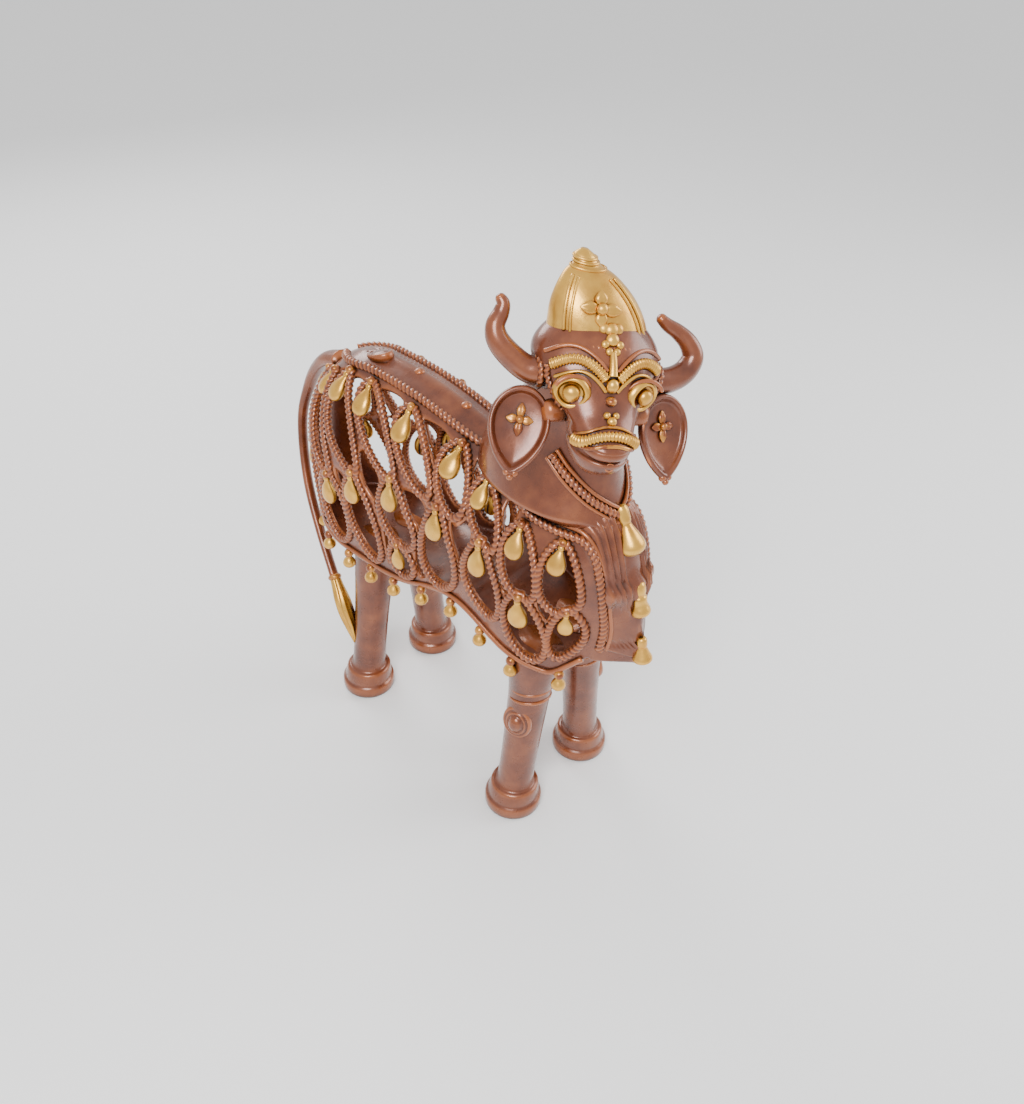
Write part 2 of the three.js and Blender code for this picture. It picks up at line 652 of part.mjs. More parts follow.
function keelBell({ at, way, length, radius }) {
  const shape = [[-0.06, 0.3], [0.05, 0.5], [0.32, 0.4], [0.78, 1], [1, 0.4]];
  const profile = shape.map(([h, r]) => [h * length, r * radius]);
  return turned(profile, vec(...at), vec(...way), vec(1, 0, 0), { sides: 7 });
}

function strap(side) {
  const path = [
    [17.5, -58, 205], [16, -66, 198], [11, -75, 190], [5.5, -80, 184], [0, -81.5, 180],
  ];
  const stations = path.map(([x, y, z]) => (
    { at: vec(side * x, y, z), radius: 1.9, normal: vec(side * x, y + 50, 0) }
  ));
  return bar(stations);
}

function flute(step, side) {
  const count = 5;
  const gap = 4.4 * step;
  const stations = Array.from({ length: count }, (_, i) => {
    const t = i / (count - 1);
    const u = along([[0, -60], [0.35, -76], [0.5, -84], [1, -88]], t) - gap * 0.72;
    const v = along([[0, 0.5], [0.35, 0.5], [0.5, 0.6], [1, 1.55]], t) - gap * 0.035 * (1 - t);
    return { at: skin(u, v, 0, side), radius: 1.5, normal: skinFrame(u, v, side).out };
  });
  return bar(stations);
}

// Tail: a band that leaves the rump, hangs clear of the body and ends in a tassel on the leg
const TAIL = [
  [0, 92, 182, 6], [0, 104, 177, 5.5], [0, 114, 167, 4.6], [-1, 121, 154, 3.6], [-4, 124, 139, 3.1],
  [-8.5, 120, 121, 3], [-14, 110.5, 102, 3], [-19.5, 96, 82, 3], [-24.5, 81, 65, 3], [-27.5, 71, 53, 4.6],
  [-28, 64.5, 41, 3.6], [-28.5, 61, 31, 1.2],
];

function tail() {
  const stations = TAIL.map(([x, y, z, radius]) => ({ at: vec(x, y, z), radius, normal: vec(0, 1, 0.3) }));
  return bar(stations, { sides: 5, flat: 0.8 });
}

// The low disc on the rump and the two studs on the spine
function backOrnaments() {
  const disc = turned([[-4, 8], [1.6, 7.2], [2, 3]], skin(70, 0.04), vec(0, 0.35, 1), vec(0, 1, 0),
    { sides: 8, flat: 0.75 });
  const studs = [36, 6].map((u) => turned([[-2, 2.6], [1.4, 2.4], [2.2, 0.8]], skin(u, 0), vec(0, 0, 1),
    vec(1, 0, 0), { sides: 5 }));
  return join([disc, ...studs]);
}

function figure() {
  const flanks = [-1, 1].flatMap((side) => [
    ...HEM_DROPS.map((u) => hemDrop(u, side)),
    strap(side),
    ...[0, 1].map((step) => flute(step, side)),
  ]);
  const head = [
    skull(),
    crown(),
    flower(headPoint(-4.5, -9, 262.5), headWay(-0.15, 0.45, 1), headWay(1, 0, 0), headWay(0, -1, 0.42), 9, 2.2),
    headband(),
    faceOrnaments(),
    ...HORNS.map(horn),
    ...[-1, 1].flatMap((side) => [ear(side), earStub(side), earFlower(side), eye(side), brow(side)]),
  ];
  const whole = join([
    shell(NET_OPENINGS, NET_LOOPS.map(({ boss }) => boss)), neck(), ...flanks, ...head, ...LEGS.map(leg), ...LEGS.slice(0, 2).map(kneeBoss),
    ...KEEL_BELLS.map(keelBell), tail(), backOrnaments(),
  ]);
  // Specks smaller than a grain, left where two skins cross, are dropped
  return whole.decompose().reduce((a, b) => (b.volume() > a.volume() ? b : a));
}

function toMesh(solid, name, material) {
  const { vertProperties, triVerts } = solid.getMesh();
  const geometry = new THREE.BufferGeometry();
  geometry.setAttribute("position", new THREE.BufferAttribute(vertProperties, 3));
  geometry.setIndex(new THREE.BufferAttribute(triVerts, 1));
  geometry.computeVertexNormals();
  const mesh = new THREE.Mesh(geometry, material);
  mesh.name = name;
  return mesh;
}

const brass = new THREE.MeshStandardMaterial({ color: 0x5a2410, roughness: 0.35, metalness: 0.6 });
const cow = new THREE.Group();
cow.position.set(-BOX_MIDDLE[0], -BOX_MIDDLE[1], 0);
cow.add(toMesh(figure(), "cow_figure", brass));

export default cow;
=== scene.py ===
# Looks of the cast brass cow figure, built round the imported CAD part.
# Lengths are millimetres in the part's own measures until a piece is made, then metres.
# u runs along a flank from the keel of the chest round the rump to the tail, and v down it:
# 0 on the spine, 1 at the waist, 2 at the hem and 3 under the belly.
import math

import bmesh
import bpy
import numpy as np
from mathutils import Matrix, Vector
from mathutils.geometry import delaunay_2d_cdt


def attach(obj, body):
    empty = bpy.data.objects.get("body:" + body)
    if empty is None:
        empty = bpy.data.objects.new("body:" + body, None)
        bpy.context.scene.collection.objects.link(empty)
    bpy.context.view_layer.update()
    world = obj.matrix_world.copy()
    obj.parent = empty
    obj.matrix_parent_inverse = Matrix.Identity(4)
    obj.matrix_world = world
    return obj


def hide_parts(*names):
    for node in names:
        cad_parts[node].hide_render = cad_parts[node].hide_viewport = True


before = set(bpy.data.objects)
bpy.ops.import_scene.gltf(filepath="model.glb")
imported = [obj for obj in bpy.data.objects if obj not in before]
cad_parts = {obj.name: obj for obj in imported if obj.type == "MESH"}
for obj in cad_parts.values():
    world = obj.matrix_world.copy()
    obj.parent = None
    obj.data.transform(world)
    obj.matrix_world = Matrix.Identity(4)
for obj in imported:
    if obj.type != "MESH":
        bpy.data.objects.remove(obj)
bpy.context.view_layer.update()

# Driving dimensions, the same as the solid's
BARREL_HALF_WIDTH = 32
BACK_HEIGHT = 197
BACK_HIGHEST_Y = 49
BACK_SAG = 10
WITHERS_Y = -16
WAIST_Z = 146
REAR_Y = 60
REAR_RADIUS = 46
REAR_WRAP = 38
SHOULDER_Y = -45
KEEL_Y = -101
CHEST_TOP_Y = -74
CHEST_FALL = 60
HEM_Z = 98
HEM_RISE = 14
BELLY_SAG = 3
WALL = 3
HOOF_RADIUS = 14.2
LEG_RADIUS = 9
LEG_TOP_Z = 112
LEGS = [
    {"foot": (-26, -57), "top": -15, "thigh": 12.5},
    {"foot": (26, -57), "top": 15, "thigh": 12.5},
    {"foot": (-24, 57), "top": -12, "thigh": 11.5},
    {"foot": (25.5, 57), "top": 13, "thigh": 11.5},
]
HEAD_TURN = math.radians(33.2)
HEAD_TILT = math.radians(9)
HEAD_AT = np.array([-0.9, -57.8, 227.2])
BOX_MIDDLE = np.array([-3.195, 9.675, 0.0])
ROPE_RADIUS = 1.9
TAIL_U = REAR_Y + REAR_WRAP * math.pi / 2
PLAN = 50.0

# Finishes of a piece, by number; the last is painted shade, a near-black finish put in slits and holes
BROWN, GOLD, AMBER, PAINTED_SHADE = range(4)


# Small helpers
def vec(x, y, z):
    return np.array([x, y, z], float)


def mix(a, b, t):
    return a + (b - a) * t


def unit(v):
    return v / np.maximum(np.linalg.norm(v, axis=-1, keepdims=True), 1e-9)


def smooth(low, high, value):
    t = np.clip((value - low) / (high - low), 0, 1)
    return t * t * (3 - 2 * t)


def ridge(distance, half):
    """1 on a line, falling in a round hump to 0 at the half width."""
    return np.sqrt(np.clip(1 - (distance / half) ** 2, 0, 1))


def along(pairs, position):
    places, values = zip(*pairs)
    return np.interp(position, places, values)


def curve(points, count, closed=False):
    """A smooth curve of count places through the given points (Catmull-Rom)."""
    points = np.asarray(points, float)
    if closed:
        p = np.concatenate([points[-1:], points, points[:2]])
        spans = len(points)
    else:
        first = 2 * points[0] - points[1]
        last = 2 * points[-1] - points[-2]
        p = np.concatenate([[first], points, [last]])
        spans = len(points) - 1
    t = np.linspace(0, spans, count, endpoint=not closed)
    i = np.minimum(t.astype(int), spans - 1)
    t = (t - i)[:, None]
    a, b, c, d = p[i], p[i + 1], p[i + 2], p[i + 3]
    return 0.5 * (2 * b + (c - a) * t + (2 * a - 5 * b + 4 * c - d) * t ** 2
                  + (3 * b - a - 3 * c + d) * t ** 3)


def resample(points, step, closed=False):
    """Even steps along a line of points. Returns the places of the steps as fractions of a row."""
    p = np.concatenate([points, points[:1]]) if closed else points
    run = np.concatenate([[0], np.cumsum(np.linalg.norm(np.diff(p, axis=0), axis=1))])
    count = max(int(round(run[-1] / step)), 8)
    stops = np.linspace(0, run[-1], count + 1)
    rows = np.interp(stops, run, np.arange(len(p)))
    return (rows[:-1] if closed else rows), run[-1]


def take(values, rows, closed=False):
    """Reads rows of an array at fractional places."""
    v = np.concatenate([values, values[:1]]) if closed else values
    low = np.minimum(rows.astype(int), len(v) - 2)
    t = (rows - low)[:, None]
    return v[low] * (1 - t) + v[low + 1] * t


class Piece:
    """Points and faces of one piece in millimetres, with a finish for each face."""

    def __init__(self, name):
        self.name = name
        self.points = []
        self.faces = []
        self.marks = []
        self.total = 0

    def add(self, points, faces, mark=BROWN):
        points = np.asarray(points, float).reshape(-1, 3)
        faces = np.asarray(faces)
        self.points.append(points)
        self.faces.extend((faces + self.total).tolist())
        self.marks.extend([mark] * len(faces) if np.isscalar(mark) else list(mark))
        self.total += len(points)

    def make(self, finishes, replaced=None):
        points = (np.concatenate(self.points) - BOX_MIDDLE) / 1000
        mesh = bpy.data.meshes.new(self.name)
        mesh.from_pydata(points.tolist(), [], self.faces)
        mesh.polygons.foreach_set("material_index", np.array(self.marks, dtype=np.int32))
        work = bmesh.new()
        work.from_mesh(mesh)
        bmesh.ops.remove_doubles(work, verts=work.verts, dist=2e-6)
        bmesh.ops.recalc_face_normals(work, faces=work.faces)
        work.to_mesh(mesh)
        work.free()
        mesh.polygons.foreach_set("use_smooth", np.ones(len(mesh.polygons), dtype=bool))
        for finish in finishes:
            mesh.materials.append(finish)
        piece = bpy.data.objects.new(self.name, mesh)
        bpy.context.scene.collection.objects.link(piece)
        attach(piece, "root")
        if replaced:
            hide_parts(replaced)
        return piece


def grid(rows, columns, looped=False):
    """Faces of a sheet of rows of points whose columns close into a ring."""
    i = np.arange(rows if looped else rows - 1)
    i, j = np.meshgrid(i, np.arange(columns), indexing="ij")
    below = (i + 1) % rows
    right = (j + 1) % columns
    faces = np.stack([i * columns + j, i * columns + right, below * columns + right,
                      below * columns + j], -1)
    return faces.reshape(-1, 4)


def skin_rings(piece, rings, mark=BROWN, looped=False):
    """A closed skin through rings of points, each end drawn together at its middle."""
    rings = np.asarray(rings, float)
    if not looped:
        ends = [np.repeat(r.mean(axis=0)[None], len(r), axis=0) for r in (rings[0], rings[-1])]
        rings = np.concatenate([[ends[0]], rings, [ends[1]]])
    faces = grid(len(rings), rings.shape[1], looped)
    if callable(mark):
        rows = faces[:, 0] // rings.shape[1]
        columns = faces[:, 0] % rings.shape[1]
        mark = mark(rows, columns)
    piece.add(rings, faces, mark)


def tube(piece, points, radius, out, sides=10, closed=False, flat=1.0, mark=BROWN):
    """A bar along a line; radius is a number, a row or a sheet of numbers."""
    points = np.asarray(points, float)
    if closed:
        forward = unit(np.roll(points, -1, 0) - np.roll(points, 1, 0))
    else:
        forward = unit(np.gradient(points, axis=0))
    out = np.broadcast_to(out, points.shape)
    out = unit(out - (out * forward).sum(-1, keepdims=True) * forward)
    across = np.cross(forward, out)
    angle = 2 * np.pi * np.arange(sides) / sides
    radius = np.asarray(radius, float)
    if radius.ndim < 2:
        radius = np.broadcast_to(radius, (len(points),))[:, None] * np.ones(sides)
    rings = (points[:, None] + out[:, None] * (flat * radius * np.cos(angle))[..., None]
             + across[:, None] * (radius * np.sin(angle))[..., None])
    skin_rings(piece, rings, mark, looped=closed)


def rope(piece, points, out, radius=1.85, pitch=2.5, closed=False, mark=BROWN, sides=12, depth=0.17,
         strands=2):
    """A twisted rope along a line: strands wound round it, a ridge every pitch."""
    points = np.asarray(points, float)
    rows, length = resample(points, pitch / 4.5, closed)
    out = take(np.broadcast_to(out, points.shape), rows, closed)
    points = take(points, rows, closed)
    turns = max(round(length / pitch), 1)
    phase = 2 * np.pi * turns * np.arange(len(points)) / len(points)
    angle = 2 * np.pi * np.arange(sides) / sides
    wave = 1 + depth * np.cos(strands * angle[None] - phase[:, None])
    tube(piece, points, radius * wave, out, sides, closed, mark=mark)


def ball(piece, at, radius, mark=BROWN, up=(0, 0, 1), squash=1.0, rings=9, sides=14):
    lathe(piece, [(-math.cos(a) * radius * squash, math.sin(a) * radius)
                  for a in np.linspace(0.12, math.pi - 0.12, rings)], at, up, sides=sides, mark=mark)


def lathe(piece, profile, at, axis, side=(1, 0, 0), sides=20, flat=1.0, mark=BROWN, shape=None):
    """A turned form: profile of (along, radius) places about a line from a point in a direction."""
    axis = unit(np.asarray(axis, float))
    side = np.asarray(side, float)
    if abs(side @ axis) > 0.95 * np.linalg.norm(side):
        side = vec(0, 1, 0.3)
    across = unit(side - (side @ axis) * axis)
    out = np.cross(axis, across)
    angle = 2 * np.pi * np.arange(sides) / sides
    profile = np.asarray(profile, float)
    radius = profile[:, 1][:, None] * np.ones(sides)
    if shape is not None:
        radius = shape(profile[:, 0][:, None], angle[None], radius)
    rings = (np.asarray(at, float) + axis * profile[:, 0][:, None, None]
             + across * (radius * np.cos(angle))[..., None]
             + out * (flat * radius * np.sin(angle))[..., None])
    skin_rings(piece, rings, mark)


def turned(profile, count):
    return curve(profile, count)


# The body's skin
def barrel_width(u):
    reach = np.clip((SHOULDER_Y - u) / (SHOULDER_Y - KEEL_Y), 0, 1)
    return BARREL_HALF_WIDTH * (1 - reach * reach) ** 0.85


def barrel_top(u):
    dip = (BACK_HIGHEST_Y - np.clip(u, WITHERS_Y, BACK_HIGHEST_Y)) / REAR_Y
    fall = np.clip((CHEST_TOP_Y - u) / (CHEST_TOP_Y - KEEL_Y), 0, 1)
    return BACK_HEIGHT - BACK_SAG * dip * dip - CHEST_FALL * fall ** 2.2


def hem_height(u):
    return HEM_Z + HEM_RISE * np.exp(-(((u + 15) / 28) ** 2)) + 14 * smooth(-70, -88, u)


def skin(u, v, inset=0.0, side=-1):
    u, v, inset = np.broadcast_arrays(np.asarray(u, float), np.asarray(v, float), inset)
    station = np.minimum(u, REAR_Y)
    front = np.clip((SHOULDER_Y - u) / (SHOULDER_Y - KEEL_Y), 0, 1)
    turn = np.clip((u - REAR_Y) / REAR_WRAP, 0, math.pi / 2)
    arch = np.clip(v, 0, 1) * (math.pi / 2)
    lower = np.clip(v - 1, 0, 1)
    belly = np.clip(v - 2, 0, 1) * (math.pi / 2)
    top, hem = barrel_top(station), hem_height(station)
    waist = np.minimum(WAIST_Z, (top + hem) / 2)
    spread = np.sin(arch) * np.cos(belly)
    narrow = 1 - inset / BARREL_HALF_WIDTH
    width = barrel_width(station) * narrow * spread * (1 - 0.05 * lower ** 2)
    reach = (REAR_RADIUS - inset) * spread * (1 - 0.1 * lower ** 2)
    z = (waist + (top - waist - inset) * np.cos(arch) - (waist - hem - inset) * lower
         - BELLY_SAG * np.sin(belly))
    y = np.where(u > REAR_Y, station + reach * np.sin(turn), station) + 1.6 * inset * front ** 2
    return np.stack([side * width * np.cos(turn), y, z], -1)


def skin_frame(u, v, side):
    run = unit(skin(u + 0.5, v, 0, side) - skin(u - 0.5, v, 0, side))
    down = unit(skin(u, v + 0.02, 0, side) - skin(u, v - 0.02, 0, side))
    return run, down, unit(np.cross(down, run) * -side)


# Layout of the net: loops of rope from apex to foot, and openings between them
LOOPS = [
    ((104.5, 0.5), (97, 1.12), 8.5), ((98, 1.1), (88, 1.92), 9), ((89, 0.4), (69, 1.14), 9.5),
    ((68, 1.1), (64, 1.92), 12), ((73, 0.3), (50, 0.97), 11), ((50, 0.92), (38, 1.9), 12),
    ((52, 0.29), (25, 0.84), 11.5), ((23, 0.8), (15, 1.5), 13), ((19, 1.46), (15, 1.92), 9),
    ((25, 0.3), (3, 0.8), 12), ((-7, 0.76), (-9, 1.92), 12.5), ((-6, 0.27), (-15, 0.8), 10.5),
    ((-26, 0.36), (-38, 0.86), 9.5), ((-34, 0.82), (-37, 1.72), 12.5), ((-51, 0.53), (-58, 1.1), 10),
    ((-57, 1.05), (-62, 1.9), 11.5), ((-70, 0.54), (-76, 1.16), 9.5), ((-77, 1.12), (-77.5, 1.82), 8.2),
]
GAPS = [
    [(95, 0.5), (98, 0.55), (93.2, 0.8), (91.5, 1.03), (84, 1.04), (91, 0.8)],
    [(78.5, 1.16), (89, 1.16), (83, 1.42), (80.5, 1.66), (79, 1.5)],
    [(79, 0.4), (85, 0.4), (78, 0.58)],
    [(57, 1.1), (62.5, 1.04), (58.5, 1.25)],
    [(57.5, 0.36), (66.5, 0.36), (59.5, 0.5), (55, 0.57)],
    [(46, 0.82), (43, 0.94), (37, 1.08), (33.5, 1.05), (33, 0.9), (41, 0.79)],
    [(32.5, 1.14), (35.5, 1.16), (31, 1.4), (29.5, 1.6), (28, 1.8), (27, 1.8), (28.5, 1.5)],
    [(32, 0.33), (45, 0.33), (36.5, 0.47), (31, 0.55)],
    [(2, 0.89), (15, 0.88), (7, 1.08), (5, 1.2)],
    [(5.5, 1.52), (7.8, 1.56), (6.5, 1.85), (3, 1.85)],
    [(1.5, 0.34), (16, 0.34), (7, 0.46), (1.6, 0.53)],
    [(-20, 0.34), (-16, 0.32), (-19.8, 0.44)],
    [(-24.5, 0.76), (-19, 0.88), (-15.5, 0.88), (-20.5, 1.2), (-21, 1.5), (-23.4, 1.5), (-23.6, 1.2),
     (-27, 0.92)],
    [(-45, 0.5), (-40, 0.48), (-43.5, 0.66)],
    [(-43, 0.88), (-41.5, 0.92), (-45.5, 1.1), (-48, 1.16), (-48.5, 1.1)],
    [(-69.2, 1.14), (-65.2, 1.08), (-68.6, 1.26)],
]
NET_TOP = [
    (-101, 0.85), (-90, 1.2), (-86, 0.66), (-77, 0.5), (-66, 0.48), (-53, 0.46), (-42, 0.4),
    (-28, 0.28), (-12, 0.2), (8, 0.22), (60, 0.23), (112, 0.36), (120, 0.38),
]
FLANK_DROP = 55


def loop_axis(loop, fall):
    (u0, v0), (u1, v1), _ = loop
    return mix(u0, u1, fall ** 1.4), mix(v0, v1, fall)


def loop_line(loop, inward, count=72):
    """Places of a loop's teardrop on the skin, drawn in from the middle of its rope."""
    (u0, v0), (u1, v1), half = loop
    length = math.hypot((u1 - u0) * 0.6, (v1 - v0) * FLANK_DROP)
    angle = 2 * np.pi * np.arange(count) / count
    swell = np.sin(angle) * np.abs(np.sin(angle / 2)) ** 0.4
    fall = mix(inward / length, 1 - inward / length, (1 - np.cos(angle)) / 2)
    u, v = loop_axis(loop, fall)
    return u + (half - inward) * swell, v


def grown(corners, amount=1.25, count=28):
    """A smooth outline through the corners of an opening, let out by an amount."""
    line = curve([(u, v * PLAN) for u, v in corners], count, closed=True)
    middle = line.mean(axis=0)
    away = unit(line - middle)
    line = line + away * amount
    return line[:, 0], line[:, 1] / PLAN


def inside(points, outline):
    """Which points lie inside a closed outline."""
    x, y = points[:, 0][:, None], points[:, 1][:, None]
    ax, ay = outline[:, 0][None], outline[:, 1][None]
    bx, by = np.roll(ax, -1), np.roll(ay, -1)
    crosses = (ay > y) != (by > y)
    slope = np.where(by == ay, 1e-9, by - ay)
    return (crosses & (x < (bx - ax) * (y - ay) / slope + ax)).sum(axis=1) % 2 == 1


# Lines of relief on the neck's foot and the chest, as places on the skin
CHEST_RIBS = [
    ([(-24, 0.14), (-34, 0.27), (-46, 0.36), (-58, 0.385), (-70, 0.385), (-77, 0.40), (-82, 0.46),
      (-86.5, 0.60), (-89, 0.75), (-89.5, 0.9)], 1.3, 1.3),
    ([(-62, 0.30), (-72, 0.30), (-78, 0.32), (-83, 0.38), (-88, 0.52), (-90.5, 0.68), (-90.8, 0.85)],
     1.4, 1.2),
    ([(-68, 0.235), (-77, 0.235), (-83, 0.27), (-88.5, 0.40), (-92, 0.56), (-92.6, 0.75)], 1.3, 1.1),
    ([(-74, 0.165), (-81, 0.17), (-86, 0.21), (-91, 0.33), (-94, 0.46), (-94.5, 0.65)], 1.2, 1.0),
]


def line_relief(u, v, line, half, rise):
    """Lift of the skin near a raised line, measured in the plan of the skin."""
    path = curve([(a, b * PLAN) for a, b in line], 90)
    p = np.stack([u, v * PLAN], -1)
    near = np.full(len(p), 99.0)
    for k in range(0, len(path), 30):
        part = path[k:k + 31]
        d = np.linalg.norm(p[:, None] - part[None], axis=-1).min(axis=1)
        near = np.minimum(near, d)
    return rise * ridge(near, half)


def relief(u, v):
    """How far the outer face stands out of the plain skin."""
    edge = along(NET_TOP, u)
    lift = -1.0 * smooth(edge - 0.01, edge + 0.05, v) * (u > -87)
    spine = np.abs(skin(u, v)[:, 0])
    lift += 0.9 * smooth(3.6, 2.6, spine) * (v < 0.3) * smooth(-14, -8, u) * smooth(112, 100, u)
    for groove in (0.10, 0.15):
        lift -= 0.25 * ridge((v - groove) * PLAN, 0.7) * smooth(-8, 0, u) * smooth(105, 95, u)
    chest = u < -55
    if chest.any():
        for line, half, rise in CHEST_RIBS:
            lift[chest] += line_relief(u[chest], v[chest], line, half, rise)
    z = skin(u, v)[:, 2]
    front = smooth(-87.5, -89.5, u)
    belt = front * (smooth(144.5, 145.5, z) - smooth(151.5, 152.5, z)) * (v < 1.6)
    base = front * (smooth(113, 114, z) - smooth(121, 122, z)) * (v < 1.7)
    flutes = front * (smooth(123, 125, z) - smooth(141, 143, z)) * (v < 1.6)
    lift += 1.4 * belt + 1.0 * base
    lift += 0.8 * flutes * np.clip(np.cos((u + 88.4) * 2 * np.pi / 2.6), 0, 1)
    return lift


def body_shell(piece):
    """The hollow body as one thick skin, with the net's openings left out of it."""
    outlines = []
    for loop in LOOPS:
        u, v = loop_line(loop, 0.7)
        outlines.append(np.stack([u, v * PLAN], -1))
    for corners in GAPS:
        u, v = grown(corners)
        outlines.append(np.stack([u, v * PLAN], -1))
    front_step, step = 1.25, 2.4
    xs = np.concatenate([np.arange(KEEL_Y, -62, front_step), np.arange(-62, TAIL_U, step), [TAIL_U]])
    ys = np.concatenate([np.arange(0, 100, 1.6), np.linspace(100, 150, 14)])
    gx, gy = np.meshgrid(xs, ys, indexing="ij")
    points = np.stack([gx.ravel(), gy.ravel()], -1)
    keep = np.ones(len(points), bool)
    for outline in outlines:
        low, high = outline.min(axis=0) - 1.5, outline.max(axis=0) + 1.5
        near = np.where(((points > low) & (points < high)).all(axis=1))[0]
        gap = np.linalg.norm(points[near][:, None] - outline[None], axis=-1).min(axis=1)
        keep[near[(gap < 0.9) | inside(points[near], outline)]] = False
    points = points[keep]
    edges = []
    start = len(points)
    for outline in outlines:
        count = len(outline)
        edges += [(start + k, start + (k + 1) % count) for k in range(count)]
        start += count
    points = np.concatenate([points, *outlines])
    flat, _, faces, *_ = delaunay_2d_cdt([Vector(p) for p in points.tolist()], edges, [], 0, 1e-5)
    flat = np.array([(p.x, p.y) for p in flat])
    faces = np.array(faces)
    middles = flat[faces].mean(axis=1)
    gone = np.zeros(len(faces), bool)
    for outline in outlines:
        gone |= inside(middles, outline)
    faces = faces[~gone]
    pairs = np.concatenate([faces[:, [0, 1]], faces[:, [1, 2]], faces[:, [2, 0]]])
    keys = np.sort(pairs, axis=1)
    _, where, counts = np.unique(keys, axis=0, return_index=True, return_counts=True)
    rim = pairs[where[counts == 1]]
    a, b = flat[rim[:, 0]], flat[rim[:, 1]]
    on_edge = np.zeros(len(rim), bool)
    for axis, value in ((0, KEEL_Y), (0, TAIL_U), (1, 0), (1, 150)):
        on_edge |= (np.abs(a[:, axis] - value) < 1e-3) & (np.abs(b[:, axis] - value) < 1e-3)
    rim = rim[~on_edge]
    u, v = flat[:, 0], flat[:, 1] / PLAN
    lift = relief(u, v)
    for side in (-1, 1):
        outer = skin(u, v, -lift, side)
        inner = skin(u, v, WALL - 0.2, side)
        count = len(outer)
        piece.add(np.concatenate([outer, inner]), np.concatenate([faces, faces + count]))
        walls = np.stack([rim[:, 0], rim[:, 1], rim[:, 1] + count, rim[:, 0] + count], -1)
        piece.add(np.concatenate([outer, inner]), walls)


def skin_line(places, inset, side, count=120, closed=False):
    """A line of places on the skin, with the way out of it."""
    line = curve(places, count, closed)
    u, v = line[:, 0], line[:, 1]
    return skin(u, v, inset, side), skin_frame(u, v, side)[2]


def net_ropes(piece):
    for side in (-1, 1):
        for loop in LOOPS:
            u, v = loop_line(loop, 0, 96)
            rope(piece, skin(u, v, 0.8, side), skin_frame(u, v, side)[2], closed=True)


# Borders of the net, as places on the skin
BACK_EDGE = [(112, 0.345), (100, 0.31), (84, 0.275), (60, 0.225), (34, 0.22), (8, 0.215), (-6, 0.20),
             (-14, 0.17)]
NECK_EDGE = [(-13, 0.10), (-20, 0.17), (-31, 0.285), (-42.5, 0.40), (-53, 0.465), (-64.5, 0.49),
             (-76, 0.51), (-83, 0.60), (-87.2, 0.80), (-89.3, 1.07), (-89.8, 1.4), (-89.0, 1.75)]


def borders(piece):
    for side in (-1, 1):
        line, out = skin_line(BACK_EDGE, -0.2, side)
        rope(piece, line, out, radius=1.9, pitch=2.6)
        line, out = skin_line(NECK_EDGE, -0.4, side)
        rope(piece, line, out, radius=1.8, pitch=2.4)
        smooth_edge = [(u + (1.0 if u > -80 else -2.6), v - (0.062 if u > -80 else 0.02))
                       for u, v in NECK_EDGE[2:]]
        line, out = skin_line(smooth_edge, 0.1, side)
        tube(piece, line, 1.25, out, sides=8)
        hem = [(112, 1.99), (84, 1.99), (56, 1.99), (28, 1.99), (0, 1.99), (-28, 1.99), (-56, 1.99),
               (-84, 1.99)]
        line, out = skin_line(hem, 0.7, side, 160)
        tube(piece, line, 1.5, out, sides=8)


# Bells, knobs and drops
def split_pear(size):
    """Shape of a bell with a slit from its middle down that parts two lobes."""
    def shape(distance, angle, radius):
        low = smooth(6.5 * size, 10 * size, distance)
        turn = np.abs((angle - np.pi / 2 + np.pi) % (2 * np.pi) - np.pi)
        slit = np.exp(-((turn / 0.2) ** 2)) * low
        lobes = 0.10 * np.cos(2 * angle) * low
        return radius * (1 + lobes - 0.5 * slit)
    return shape


PEAR = [(3.4, 1.3), (4.6, 1.5), (6.5, 2.5), (9, 3.7), (12, 4.35), (14.5, 4.2), (16.6, 3.1), (17.8, 1.2)]


def loop_bell(gold, loop, side):
    (u0, v0), _, half = loop
    size = min(1.0, (half - ROPE_RADIUS) / 8.6)
    u, v = loop_axis(loop, 0.02)
    run, down, out = (w[0] for w in skin_frame(np.array([u]), np.array([v]), side))
    at = skin(np.array([u]), np.array([v]), -0.6, side)[0]
    axis = unit(down * 0.9 + vec(0, 0, -0.35) + out * 0.06)
    ball(gold, at + axis * 0.6, 2.25 * size, AMBER, up=axis)
    ball(gold, at + axis * 3.3 * size, 1.75 * size, GOLD, up=axis)
    profile = [(d * size, r * size) for d, r in turned(PEAR, 18)]

    # painted shade: the faces along the slit are near black, standing in for the shade inside the bell's opening
    def marks(rows, columns):
        turn = np.abs((2 * np.pi * (columns + 0.5) / 32 - np.pi / 2 + np.pi) % (2 * np.pi) - np.pi)
        return np.where((turn < 0.16) & (rows > 8), PAINTED_SHADE, GOLD)

    across = -run if side < 0 else run
    lathe(gold, profile, at, axis, np.cross(out, axis), sides=32, flat=0.74, mark=marks,
          shape=split_pear(size))
    return across


HEM_DROPS = [97, 76, 58, 41, 24, 4, -16, -35, -54, -76]


def hem_drop(gold, u, side):
    _, _, out = (w[0] for w in skin_frame(np.array([u]), np.array([1.95]), side))
    at = skin(np.array([u]), np.array([2.0]), 0.2, side)[0] + out * -0.6
    ball(gold, at + vec(0, 0, -1.6), 2.35, AMBER)
    profile = turned([(3.2, 1.2), (4.2, 1.5), (6.2, 3.0), (8.2, 3.3), (9.6, 2.3), (10.2, 0.8)], 12)
    lathe(gold, profile, at, (0, 0, -1), sides=18, mark=GOLD)


KEEL_BELLS = [
    {"at": (0, -81.5, 183), "way": (0, -0.5, -1), "length": 21, "radius": 6, "tube": 2.9},
    {"at": (0, -94.5, 151), "way": (0, -0.28, -1), "length": 16, "radius": 4.6, "tube": 3.4},
    {"at": (0, -101, 124), "way": (0, -0.2, -1), "length": 12.5, "radius": 4.4, "tube": 2.4},
]


